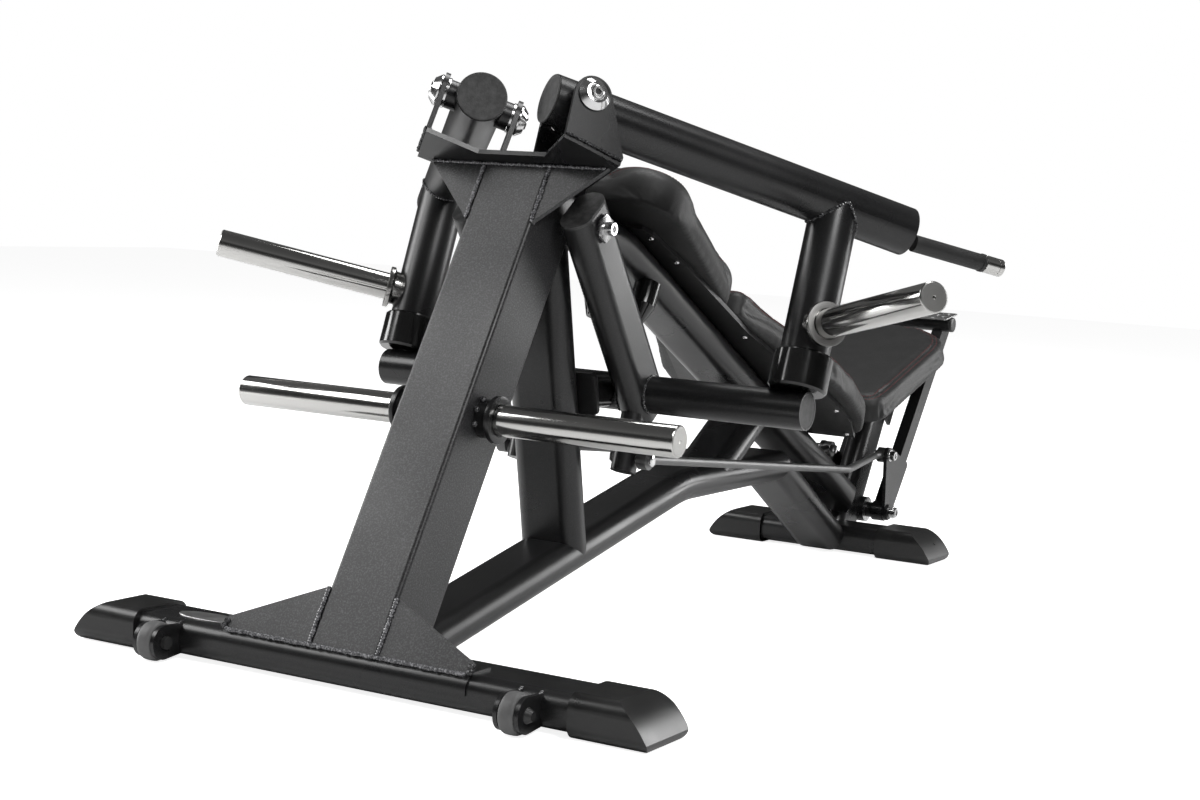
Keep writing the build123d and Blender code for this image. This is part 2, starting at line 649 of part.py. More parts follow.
with BuildPart() as arm_tube:
    round_run(arm_rear, arm_front, ARM_R)
    round_run(pivot - pivot_axis * (EAR_IN - WALL_GAP), pivot + pivot_axis * (EAR_IN - WALL_GAP), 24)
    round_run(arm_rear, arm_rear + arm_dir * PLUG_DEPTH, PLUG_R, mode=Mode.SUBTRACT)
    round_run(pivot - pivot_axis * EAR_OUT, pivot + pivot_axis * EAR_OUT, PIVOT_BOLT_R + RUNNING_GAP,
              mode=Mode.SUBTRACT)
save_pair(arm_tube, "arm_tube")

with BuildPart() as arm_plug:
    round_run(arm_rear + arm_dir * 1.5, arm_rear + arm_dir * PLUG_DEPTH, PLUG_R)
save_pair(arm_plug, "arm_plug")

with BuildPart() as down_tube:
    round_run(down_top, block_floor - down_dir * BLOCK_FLOOR, ARM_R)
    round_run(arm_rear, arm_front, ARM_R, mode=Mode.SUBTRACT)
save_pair(down_tube, "down_tube")

with BuildPart() as stop_block:
    round_run(block_floor - down_dir * BLOCK_H, block_floor, BLOCK_R)
    chamfer(stop_block.edges(), 4)
    round_run(block_floor - down_dir * BLOCK_H * 2, block_floor - down_dir * BLOCK_FLOOR, ARM_R, mode=Mode.SUBTRACT)
save_pair(stop_block, "stop_block")

with BuildPart() as weight_horn:
    round_run(horn_root, horn_root + horn_dir * HORN_COLLAR, HORN_SPIGOT_R)
    round_run(horn_root + horn_dir * HORN_COLLAR, horn_root + horn_dir * HORN_REACH, HORN_R)
    chamfer(weight_horn.faces().sort_by(Axis(horn_root, horn_dir))[-1].edges(), 2)
    round_run(down_top, block_floor, ARM_R, mode=Mode.SUBTRACT)
save_pair(weight_horn, "weight_horn")

with BuildPart() as horn_collar:
    round_run(horn_root, horn_root + horn_dir * HORN_COLLAR, COLLAR_R)
    chamfer(horn_collar.faces().sort_by(Axis(horn_root, horn_dir))[-1].edges(), 2)
    round_run(down_top, block_floor, ARM_R, mode=Mode.SUBTRACT)
    round_run(horn_root, horn_root + horn_dir * TUBE_W, HORN_SPIGOT_R, mode=Mode.SUBTRACT)
save_pair(horn_collar, "weight_horn_collar")

with BuildPart() as grip:
    round_run(grip_root, grip_root + grip_dir * GRIP_LENGTH, GRIP_R)
    round_run(arm_rear, arm_front, ARM_R, mode=Mode.SUBTRACT)
save_pair(grip, "grip")

with BuildPart() as grip_cap:
    round_run(grip_root + grip_dir * GRIP_LENGTH, grip_root + grip_dir * (GRIP_LENGTH + GRIP_CAP), GRIP_R + 0.5)
    chamfer(grip_cap.edges(), 1.5)
save_pair(grip_cap, "grip_cap")

# ================================================================ lift frame
lift_pivot = at(HANGER_X, LIFT_Y, LIFT_Z)
hang_line = at(HANGER_X, 506.0, 654.6)
hang_top = hang_line - hanger_dir * (hang_line.Z - LIFT_Z) / hanger_dir.Z
hang_top = hang_top - hanger_dir * HANGER_ABOVE
beam_spot = at(HANGER_X, BEAM_Y, BEAM_Z)
hang_foot = hang_top + hanger_dir * ((beam_spot - hang_top).dot(hanger_dir) + HANGER_BELOW)
with BuildPart() as hanger:
    edge_run(hang_top, hang_foot, HANGER_W, HANGER_T)
    round_run(at(0, LIFT_Y, LIFT_Z), at(TUBE_W * 2, LIFT_Y, LIFT_Z), SHAFT_R + RUNNING_GAP, mode=Mode.SUBTRACT)
    round_run(at(0, BEAM_Y, BEAM_Z), at(TUBE_W * 2, BEAM_Y, BEAM_Z), BEAM_R, mode=Mode.SUBTRACT)
save_group(hanger, "hangers")

stub_top = at(HANGER_X, BEAM_Y, BEAM_Z)
stub_end = at(HANGER_X, STUB_FOOT_Y, STUB_FOOT_Z)
with BuildPart() as hanger_foot:
    edge_run(stub_top, stub_end, STUB_W, STUB_T)
    add(hanger.part, mode=Mode.SUBTRACT)
    round_run(at(0, BEAM_Y, BEAM_Z), at(TUBE_W * 2, BEAM_Y, BEAM_Z), BEAM_R, mode=Mode.SUBTRACT)
    round_run(at(0, LINK_Y, LINK_Z), at(TUBE_W * 2, LINK_Y, LINK_Z), LINK_BOLT_R, mode=Mode.SUBTRACT)
save_group(hanger_foot, "hanger_feet")

with BuildPart() as lift_beam:
    round_run(at(-BEAM_REACH, BEAM_Y, BEAM_Z), at(BEAM_REACH, BEAM_Y, BEAM_Z), BEAM_R)
    for side in (1, -1):
        round_run(at(side * (BEAM_REACH - 6), BEAM_Y, BEAM_Z), at(side * BEAM_REACH, BEAM_Y, BEAM_Z), BEAM_R - 3,
                  mode=Mode.SUBTRACT)
save(lift_beam, "lift_beam")

with BuildPart() as lift_cap:
    round_run(at(BEAM_REACH - 6, BEAM_Y, BEAM_Z), at(BEAM_REACH - 1, BEAM_Y, BEAM_Z), BEAM_R - 3)
    edge_run(hang_top - hanger_dir * 5, hang_top, HANGER_W, HANGER_T)
save_group(lift_cap, "lift_frame_caps")

link_inner = HANGER_X - STUB_T / 2
link_outer = HANGER_X + STUB_T / 2
with BuildPart() as foot_nut:
    round_run(at(link_inner - 9, LINK_Y, LINK_Z), at(link_inner, LINK_Y, LINK_Z), 11)
    round_run(at(link_inner, LINK_Y, LINK_Z), at(link_outer - 1, LINK_Y, LINK_Z), LINK_BOLT_R)
save_group(foot_nut, "hanger_foot_nuts")

# ================================================================ foot lever
lever_foot = at(0, LEVER_Y, LEVER_Z)
pedal_centre = lever_foot + lever_up * LEVER_LENGTH - lever_out * PEDAL_LIFT
pedal_end = pedal_centre + Vector(PEDAL_REACH, 0, 0)
with BuildPart() as foot_lever:
    with BuildSketch(side_plane(LEVER_IN)):
        with Locations((LEVER_Y, LEVER_Z)):
            Circle(LEVER_W / 2 + 2)
        with Locations(Location((LEVER_Y, LEVER_Z, 0), (0, 0, LEVER_RISE))):
            with Locations((LEVER_LENGTH / 2, -8)):
                Rectangle(LEVER_LENGTH, LEVER_W)
            with Locations((LEVER_LENGTH, -8)):
                Circle(LEVER_W / 2)
    extrude(amount=LEVER_OUT - LEVER_IN)
    round_run(at(SLEEVE_IN + WALL_GAP, LEVER_Y, LEVER_Z), at(SLEEVE_OUT, LEVER_Y, LEVER_Z), SLEEVE_R)
    round_run(at(0, LEVER_Y, LEVER_Z), at(TUBE_W, LEVER_Y, LEVER_Z), SHAFT_R + RUNNING_GAP, mode=Mode.SUBTRACT)
    round_run(pedal_centre, pedal_end, PEDAL_R, mode=Mode.SUBTRACT)
save_group(foot_lever, "foot_levers")

with BuildPart() as rocker:
    with BuildSketch(side_plane(LEVER_OUT)):
        with Locations((LEVER_Y, LEVER_Z)):
            Circle(LEVER_W / 2)
        with Locations(ROD_HEAD):
            Circle(18)
        with Locations((LEVER_Y + 92, LEVER_Z + 98)):
            Circle(9)
        make_hull()
    extrude(amount=ROCKER_T)
    round_run(at(0, LEVER_Y, LEVER_Z), at(TUBE_W, LEVER_Y, LEVER_Z), SLEEVE_R, mode=Mode.SUBTRACT)
    round_run(at(0, *ROD_HEAD), at(TUBE_W, *ROD_HEAD), LINK_BOLT_R + RUNNING_GAP, mode=Mode.SUBTRACT)
save_group(rocker, "lever_rockers")

with BuildPart() as pedal_bar:
    round_run(pedal_centre - Vector(PEDAL_REACH, 0, 0), pedal_end, PEDAL_R)
save(pedal_bar, "pedal_bar")

tread_up = Vector(0, -sin(radians(TREAD_TILT)), cos(radians(TREAD_TILT)))
tread_plane = Plane(origin=pedal_centre + tread_up * PEDAL_R, x_dir=(1, 0, 0), z_dir=tread_up)
with BuildPart() as tread_plate:
    with BuildSketch(tread_plane):
        RectangleRounded(2 * PEDAL_REACH - 10, 84, 8)
    extrude(amount=3)
save(tread_plate, "tread_plate")

# ================================================================ link rods
rod_in_x = LEVER_OUT - ROD_EYE_T - 1
rod_mid_x = rod_in_x + ROD_EYE_T / 2
with BuildPart() as link_rod:
    with BuildLine():
        rod_path = FilletPolyline(at(rod_mid_x, ROD_HEAD[0] - ROD_EYE_R + 3, ROD_HEAD[1] + 1),
                                  at(rod_mid_x, ROD_HEAD[0] - ROD_STRAIGHT, ROD_HEAD[1] + 1),
                                  at(ROD_X, ROD_BEND_Y, ROD_BEND_Z),
                                  at(ROD_X, LINK_Y + ROD_EYE_R - 3, LINK_Z - 1), radius=60)
    with BuildSketch(Plane(origin=rod_path @ 0, z_dir=rod_path % 0)):
        Circle(ROD_R)
    sweep(path=rod_path)
    round_run(at(rod_in_x, *ROD_HEAD), at(rod_in_x + ROD_EYE_T, *ROD_HEAD), ROD_EYE_R)
    round_run(at(ROD_X - ROD_EYE_T / 2, LINK_Y, LINK_Z), at(ROD_X + ROD_EYE_T / 2, LINK_Y, LINK_Z), ROD_EYE_R)
    round_run(at(0, *ROD_HEAD), at(TUBE_W, *ROD_HEAD), LINK_BOLT_R, mode=Mode.SUBTRACT)
    round_run(at(HANGER_X, LINK_Y, LINK_Z), at(2 * TUBE_W, LINK_Y, LINK_Z), LINK_BOLT_R, mode=Mode.SUBTRACT)
save_group(link_rod, "link_rods")

with BuildPart() as rod_bolt:
    round_run(at(rod_in_x - 3, *ROD_HEAD), at(LEVER_OUT + ROCKER_T + 3, *ROD_HEAD), LINK_BOLT_R)
    round_run(at(rod_in_x - 9, *ROD_HEAD), at(rod_in_x, *ROD_HEAD), 10)
    round_run(at(LEVER_OUT + ROCKER_T + WALL_GAP, *ROD_HEAD), at(LEVER_OUT + ROCKER_T + 14, *ROD_HEAD), 12)
    round_run(at(link_outer + 1, LINK_Y, LINK_Z), at(ROD_X + ROD_EYE_T / 2 + 3, LINK_Y, LINK_Z), LINK_BOLT_R)
    round_run(at(ROD_X + ROD_EYE_T / 2, LINK_Y, LINK_Z), at(ROD_X + ROD_EYE_T / 2 + 8, LINK_Y, LINK_Z), 11)
save_group(rod_bolt, "link_rod_bolts")
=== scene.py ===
"""Plate-loaded press machine: finishes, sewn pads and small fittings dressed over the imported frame."""

import logging
import math
import random
from dataclasses import dataclass
from enum import Enum
from typing import Iterable, Sequence

import bmesh
import bpy
from mathutils import Matrix, Vector
from mathutils.bvhtree import BVHTree

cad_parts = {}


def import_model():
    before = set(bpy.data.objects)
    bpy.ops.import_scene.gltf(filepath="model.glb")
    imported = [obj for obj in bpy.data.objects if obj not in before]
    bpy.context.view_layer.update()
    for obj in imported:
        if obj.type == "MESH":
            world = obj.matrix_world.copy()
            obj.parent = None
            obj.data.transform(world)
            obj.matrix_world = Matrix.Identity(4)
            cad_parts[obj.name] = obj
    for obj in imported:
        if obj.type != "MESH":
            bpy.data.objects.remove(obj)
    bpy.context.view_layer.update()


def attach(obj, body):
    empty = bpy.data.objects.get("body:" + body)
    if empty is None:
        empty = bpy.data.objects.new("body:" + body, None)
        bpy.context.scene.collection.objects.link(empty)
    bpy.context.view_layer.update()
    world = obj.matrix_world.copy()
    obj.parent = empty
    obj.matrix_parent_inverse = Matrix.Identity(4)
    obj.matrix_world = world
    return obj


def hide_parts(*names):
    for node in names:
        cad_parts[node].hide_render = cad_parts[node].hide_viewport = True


log = logging.getLogger("press_machine")

MM = 0.001
ORIGIN_STATION = 1084.5
TO_PART = Matrix.Scale(MM, 4) @ Matrix.Translation((0.0, -ORIGIN_STATION, 0.0))
X_AXIS = Vector((1.0, 0.0, 0.0))
SMOOTH_LIMIT = math.radians(32.0)
DROPS_PER_BATCH = 24


class Side(Enum):
    """The two sides of the machine, by the sign of x."""

    RIGHT = 1
    LEFT = -1

    @property
    def word(self) -> str:
        """The side's name as the nodes carry it."""
        return self.name.lower()


# ---------------------------------------------------------------- geometry of the machine
@dataclass(frozen=True)
class Datum:
    """A working plane, in station millimetres: an origin, the direction across and the normal."""

    origin: Vector
    across: Vector
    normal: Vector

    @property
    def along(self) -> Vector:
        """The in-plane direction square to the one across."""
        return self.normal.cross(self.across)

    @property
    def matrix(self) -> Matrix:
        """The turn and shift that carries local points on to the plane."""
        turn = Matrix((self.across, self.along, self.normal)).transposed().to_4x4()
        return Matrix.Translation(self.origin) @ turn

    def point(self, a: float, b: float, c: float = 0.0) -> Vector:
        """A point from its distance across, along and above the plane."""
        return self.origin + self.across * a + self.along * b + self.normal * c


def leaning(angle: float) -> Vector:
    """The upward direction that leans forward from the vertical by an angle in degrees."""
    return Vector((0.0, math.sin(math.radians(angle)), math.cos(math.radians(angle))))


def spot(x: float, station: float, z: float) -> Vector:
    """A point in station millimetres."""
    return Vector((x, station, z))


MAST = Datum(spot(0, -10.1, 60), X_AXIS, leaning(29.7))
MAST_HALF = 63.0
MAST_TOP = 853.4
HEAD = Datum(MAST.point(0, 0, MAST_TOP), X_AXIS, MAST.normal)
BOARD = Datum(spot(0, 804.2, 628.1), X_AXIS, leaning(27.0))
SEAT = Datum(spot(0, 1668.0, 350.0), X_AXIS, leaning(-17.0))

PIVOT_TURN = math.radians(38.5)
PIVOT_UP = 89.6
PIVOT = HEAD.point(94.2, -30.3, PIVOT_UP)
PIVOT_AXIS = (HEAD.across * math.cos(PIVOT_TURN) - HEAD.along * math.sin(PIVOT_TURN)).normalized()
ARM_AIM = spot(480.0, 906.2, 721.5) - PIVOT
ARM_DIR = (ARM_AIM - PIVOT_AXIS * ARM_AIM.dot(PIVOT_AXIS)).normalized()
ARM_R = 42.0
ARM_REAR = PIVOT - ARM_DIR * 47.6
ARM_FRONT = ARM_REAR + ARM_DIR * 684.0
DOWN_TOP = ARM_REAR + ARM_DIR * 541.0
BEAM = spot(0, 674.0, 420.0)
BEAM_R = 32.5
BEAM_REACH = 425.5
DOWN_DIR = (spot(DOWN_TOP.x, BEAM.y, BEAM.z) - DOWN_TOP).normalized()
HORN_ROOT = DOWN_TOP + DOWN_DIR * ((DOWN_TOP.z - 554.6) / -DOWN_DIR.z)
HORN_AIM = Vector((0.79, -0.571, 0.224))
HORN_DIR = (HORN_AIM - DOWN_DIR * HORN_AIM.dot(DOWN_DIR)).normalized()
HORN_R = 25.0
GRIP_DIR = Vector((0.6, 0.76, -0.2)).normalized()
GRIP_ROOT = ARM_FRONT - ARM_DIR * 4.0 - Vector((0.0, 0.0, 16.0))
STORE = spot(0, 250.6, 400.1)
LIFT = spot(0, 473.0, 704.0)
LINK = spot(0, 643.0, 310.0)
LEVER = spot(0, 1930.0, 76.0)
LEVER_UP = Vector((0.0, math.cos(math.radians(53.0)), math.sin(math.radians(53.0))))
LEVER_OUT = Vector((0.0, math.sin(math.radians(53.0)), -math.cos(math.radians(53.0))))
PEDAL = LEVER + LEVER_UP * 514.6 - LEVER_OUT * 13.4
PEDAL_R = 17.5
PEDAL_REACH = 100.0
TREAD_UP = leaning(-8.0)
ROD_HEAD = spot(0, 1919.0, 206.0)
FOOT_TOP = 61.0


# ---------------------------------------------------------------- finishes
class Shader:
    """A small builder for one procedural material."""

    def __init__(self, name: str) -> None:
        """Start a material with a bare Principled shader.

        Args:
            name: the material's name.
        """
        self.material = bpy.data.materials.new(name)
        self.material.use_nodes = True
        self.tree = self.material.node_tree
        self.tree.nodes.clear()
        self.surface = self.tree.nodes.new("ShaderNodeBsdfPrincipled")
        output = self.tree.nodes.new("ShaderNodeOutputMaterial")
        self.tree.links.new(self.surface.outputs["BSDF"], output.inputs["Surface"])
        self.place = self.tree.nodes.new("ShaderNodeTexCoord").outputs["Object"]

    def fix(self, **values: float) -> None:
        """Set constants on the shader's own sockets.

        Args:
            values: numbers or colours by socket name, with underscores for spaces.
        """
        for name, value in values.items():
            socket = self.surface.inputs[name.replace("_", " ")]
            socket.default_value = (*value, 1.0) if isinstance(value, tuple) else value

    def feed(self, name: str, source: bpy.types.NodeSocket) -> None:
        """Link a texture to one of the shader's sockets."""
        self.tree.links.new(source, self.surface.inputs[name])

    def noise(self, scale: float, detail: float = 2.0, rough: float = 0.5,
              where: bpy.types.NodeSocket = None) -> bpy.types.NodeSocket:
        """Cloudy noise over the piece.

        Args:
            scale: cells per metre.
            detail: number of octaves.
            rough: weight of the finer octaves.
            where: coordinates to read, the piece's own if left out.

        Returns:
            The noise's value.
        """
        node = self.tree.nodes.new("ShaderNodeTexNoise")
        node.inputs["Scale"].default_value = scale
        node.inputs["Detail"].default_value = detail
        node.inputs["Roughness"].default_value = rough
        self.tree.links.new(where or self.place, node.inputs["Vector"])
        return node.outputs["Fac"]

    def cells(self, scale: float) -> bpy.types.NodeSocket:
        """Distance to the nearest of scattered points, for leather and moulded grain.

        Args:
            scale: cells per metre.

        Returns:
            The distance.
        """
        node = self.tree.nodes.new("ShaderNodeTexVoronoi")
        node.inputs["Scale"].default_value = scale
        self.tree.links.new(self.place, node.inputs["Vector"])
        return node.outputs["Distance"]

    def spread(self, source: bpy.types.NodeSocket, low: float, high: float,
               to_low: float, to_high: float) -> bpy.types.NodeSocket:
        """Stretch a value from one range to another.

        Args:
            source: the value.
            low: where the source range starts.
            high: where it ends.
            to_low: result at the start.
            to_high: result at the end.

        Returns:
            The stretched value.
        """
        node = self.tree.nodes.new("ShaderNodeMapRange")
        for socket, value in zip(("From Min", "From Max", "To Min", "To Max"), (low, high, to_low, to_high)):
            node.inputs[socket].default_value = value
        self.tree.links.new(source, node.inputs["Value"])
        return node.outputs["Result"]

    def tint(self, source: bpy.types.NodeSocket, low: float, high: float,
             dark: tuple, light: tuple) -> bpy.types.NodeSocket:
        """Colour that runs from dark to light as a value climbs.

        Args:
            source: the value.
            low: value that gives the dark colour.
            high: value that gives the light colour.
            dark: linear colour.
            light: linear colour.

        Returns:
            The colour.
        """
        node = self.tree.nodes.new("ShaderNodeValToRGB")
        first, last = node.color_ramp.elements
        first.position, last.position = low, high
        first.color, last.color = (*dark, 1.0), (*light, 1.0)
        self.tree.links.new(source, node.inputs["Fac"])
        return node.outputs["Color"]

    def blend(self, share: bpy.types.NodeSocket, one: bpy.types.NodeSocket,
              other: bpy.types.NodeSocket) -> bpy.types.NodeSocket:
        """Mix two colours by a value."""
        node = self.tree.nodes.new("ShaderNodeMix")
        node.data_type = "RGBA"
        for source, socket in ((share, 0), (one, 6), (other, 7)):
            self.tree.links.new(source, node.inputs[socket])
        return node.outputs[2]

    def relief(self, height: bpy.types.NodeSocket, depth: float, under: bpy.types.NodeSocket = None,
               strength: float = 1.0) -> bpy.types.NodeSocket:
        """Turn a height pattern into relief and feed it to the shader.

        Args:
            height: the pattern.
            depth: how far it stands out, in metres.
            under: an earlier relief to add to.
            strength: share of the relief that shows.

        Returns:
            The bent normal.
        """
        node = self.tree.nodes.new("ShaderNodeBump")
        node.inputs["Distance"].default_value = depth
        node.inputs["Strength"].default_value = strength
        self.tree.links.new(height, node.inputs["Height"])
        if under is not None:
            self.tree.links.new(under, node.inputs["Normal"])
        self.feed("Normal", node.outputs["Normal"])
        return node.outputs["Normal"]

    def reading(self, name: str) -> bpy.types.NodeSocket:
        """A number that the mesh carries at each corner, by its name."""
        node = self.tree.nodes.new("ShaderNodeAttribute")
        node.attribute_name = name
        return node.outputs["Fac"]

    def lines(self, scale: float, along: bpy.types.NodeSocket) -> bpy.types.NodeSocket:
        """Fine random lines across a run, as a lathe tool leaves.

        Args:
            scale: lines per metre.
            along: the place on the run, in metres.

        Returns:
            The lines' value.
        """
        node = self.tree.nodes.new("ShaderNodeTexNoise")
        node.noise_dimensions = "1D"
        node.inputs["Scale"].default_value = scale
        node.inputs["Detail"].default_value = 3.0
        self.tree.links.new(along, node.inputs["W"])
        return node.outputs["Fac"]


@dataclass(frozen=True)
class PowderCoat:
    """Fine-textured black coat: a dark ground with lighter grains and a slightly rough skin."""

    name: str = "powder_coat"
    ground: float = 0.0055
    grain: float = 0.020
    rough: float = 0.29
    grains_per_m: float = 620.0

    def paint(self) -> bpy.types.Material:
        """Make the material."""
        coat = Shader(self.name)
        fine = coat.noise(self.grains_per_m, 2.0, 0.6)
        broad = coat.noise(5.0, 3.0)
        dark = (self.ground, self.ground, self.ground * 1.06)
        light = (self.grain, self.grain, self.grain * 1.04)
        specks = coat.tint(fine, 0.46, 0.70, dark, light)
        faded = coat.tint(fine, 0.46, 0.76, tuple(v * 1.25 for v in dark), light)
        coat.feed("Base Color", coat.blend(broad, specks, faded))
        coat.feed("Roughness", coat.spread(broad, 0.3, 0.7, self.rough - 0.05, self.rough + 0.07))
        coat.fix(Specular_IOR_Level=0.5)
        coat.relief(fine, 0.00012, coat.relief(coat.noise(70.0, 2.0), 0.0002, strength=0.12), strength=0.3)
        return coat.material


@dataclass(frozen=True)
class TurnedSteel:
    """Polished bar with fine rings, brushed where the end is faced; the faced end's colour is painted darker
    as shade.
    """

    name: str = "turned_steel"
    tone: tuple = (0.60, 0.595, 0.58)
    rough: float = 0.10

    def paint(self) -> bpy.types.Material:
        """Make the material."""
        steel = Shader(self.name)
        run = steel.reading("turned")
        rings = steel.lines(1500.0, run)
        smear = steel.noise(14.0, 4.0, 0.6)
        dull = tuple(v * 0.86 for v in self.tone)
        bar = steel.tint(rings, 0.3, 0.7, dull, self.tone)
        # Painted shade: the faced end gets a darker colour, 0.45 to 0.80 of the bar's tone, standing in for
        # the dimmer look of the end face under the lamp it faces.
        face = steel.tint(rings, 0.3, 0.7, tuple(v * 0.45 for v in self.tone),
                          tuple(v * 0.80 for v in self.tone))
        steel.feed("Base Color", steel.blend(steel.reading("faced"), bar, face))
        faced = steel.spread(steel.reading("faced"), 0.0, 1.0, 0.0, 0.26)
        worn = steel.spread(smear, 0.35, 0.75, self.rough, self.rough + 0.07)
        total = steel.tree.nodes.new("ShaderNodeMath")
        steel.tree.links.new(faced, total.inputs[0])
        steel.tree.links.new(worn, total.inputs[1])
        steel.feed("Roughness", total.outputs[0])
        steel.fix(Metallic=1.0)
        steel.relief(rings, 0.000006, strength=0.25)
        return steel.material


@dataclass(frozen=True)
class BrightMetal:
    """Plated or satin metal for bolts, nuts, rods and plates."""

    name: str
    tone: float
    rough: float
    mottle: float = 60.0
    dent: float = 0.00004

    def paint(self) -> bpy.types.Material:
        """Make the material."""
        metal = Shader(self.name)
        cloud = metal.noise(self.mottle, 4.0, 0.6)
        fine = metal.noise(1800.0, 2.0)
        low = (self.tone * 0.82,) * 3
        high = (self.tone * 1.04,) * 3
        metal.feed("Base Color", metal.tint(cloud, 0.3, 0.72, low, high))
        metal.feed("Roughness", metal.spread(cloud, 0.3, 0.7, self.rough, self.rough + 0.12))
        metal.fix(Metallic=1.0)
        metal.relief(fine, self.dent, strength=0.4)
        return metal.material


@dataclass(frozen=True)
class Moulding:
    """Moulded rubber or plastic with a fine pebbled grain."""

    name: str
    ground: float
    light: float
    rough: float
    cells_per_m: float = 650.0
    depth: float = 0.00012
    shine: float = 0.45
    cloud_per_m: float = 18.0

    def paint(self) -> bpy.types.Material:
        """Make the material."""
        skin = Shader(self.name)
        pebble = skin.cells(self.cells_per_m)
        cloud = skin.noise(self.cloud_per_m, 4.0, 0.62)
        skin.feed("Base Color", skin.tint(cloud, 0.32, 0.72, (self.ground,) * 3, (self.light,) * 3))
        skin.feed("Roughness", skin.spread(cloud, 0.3, 0.7, self.rough, self.rough + 0.10))
        skin.fix(Specular_IOR_Level=self.shine)
        skin.relief(pebble, self.depth, skin.relief(skin.noise(45.0, 2.0), 0.0002, strength=0.2),
                    strength=0.6)
        return skin.material


@dataclass(frozen=True)
class Leatherette:
    """Black coated cloth with a pebbled grain and soft creasing."""

    name: str = "leatherette"
    ground: float = 0.0075
    light: float = 0.016
    rough: float = 0.46

    def paint(self) -> bpy.types.Material:
        """Make the material."""
        hide = Shader(self.name)
        pebble = hide.cells(720.0)
        pore = hide.noise(2100.0, 2.0)
        crease = hide.noise(26.0, 5.0, 0.6)
        hide.feed("Base Color", hide.tint(crease, 0.3, 0.75, (self.ground,) * 3, (self.light,) * 3))
        hide.feed("Roughness", hide.spread(pebble, 0.0, 0.6, self.rough - 0.06, self.rough + 0.08))
        hide.fix(Specular_IOR_Level=0.42)
        soft = hide.relief(crease, 0.0009, strength=0.25)
        hide.relief(pore, 0.00012, hide.relief(pebble, 0.00028, soft, 0.7), 0.4)
        return hide.material


@dataclass(frozen=True)
class Thread:
    """Twisted sewing thread."""

    name: str = "red_thread"
    tone: tuple = (0.17, 0.012, 0.014)

    def paint(self) -> bpy.types.Material:
        """Make the material."""
        yarn = Shader(self.name)
        twist = yarn.noise(2600.0, 2.0)
        yarn.feed("Base Color", yarn.tint(twist, 0.3, 0.7, tuple(v * 0.55 for v in self.tone), self.tone))
        yarn.fix(Roughness=0.7)
        yarn.relief(twist, 0.0003, strength=0.6)
        return yarn.material


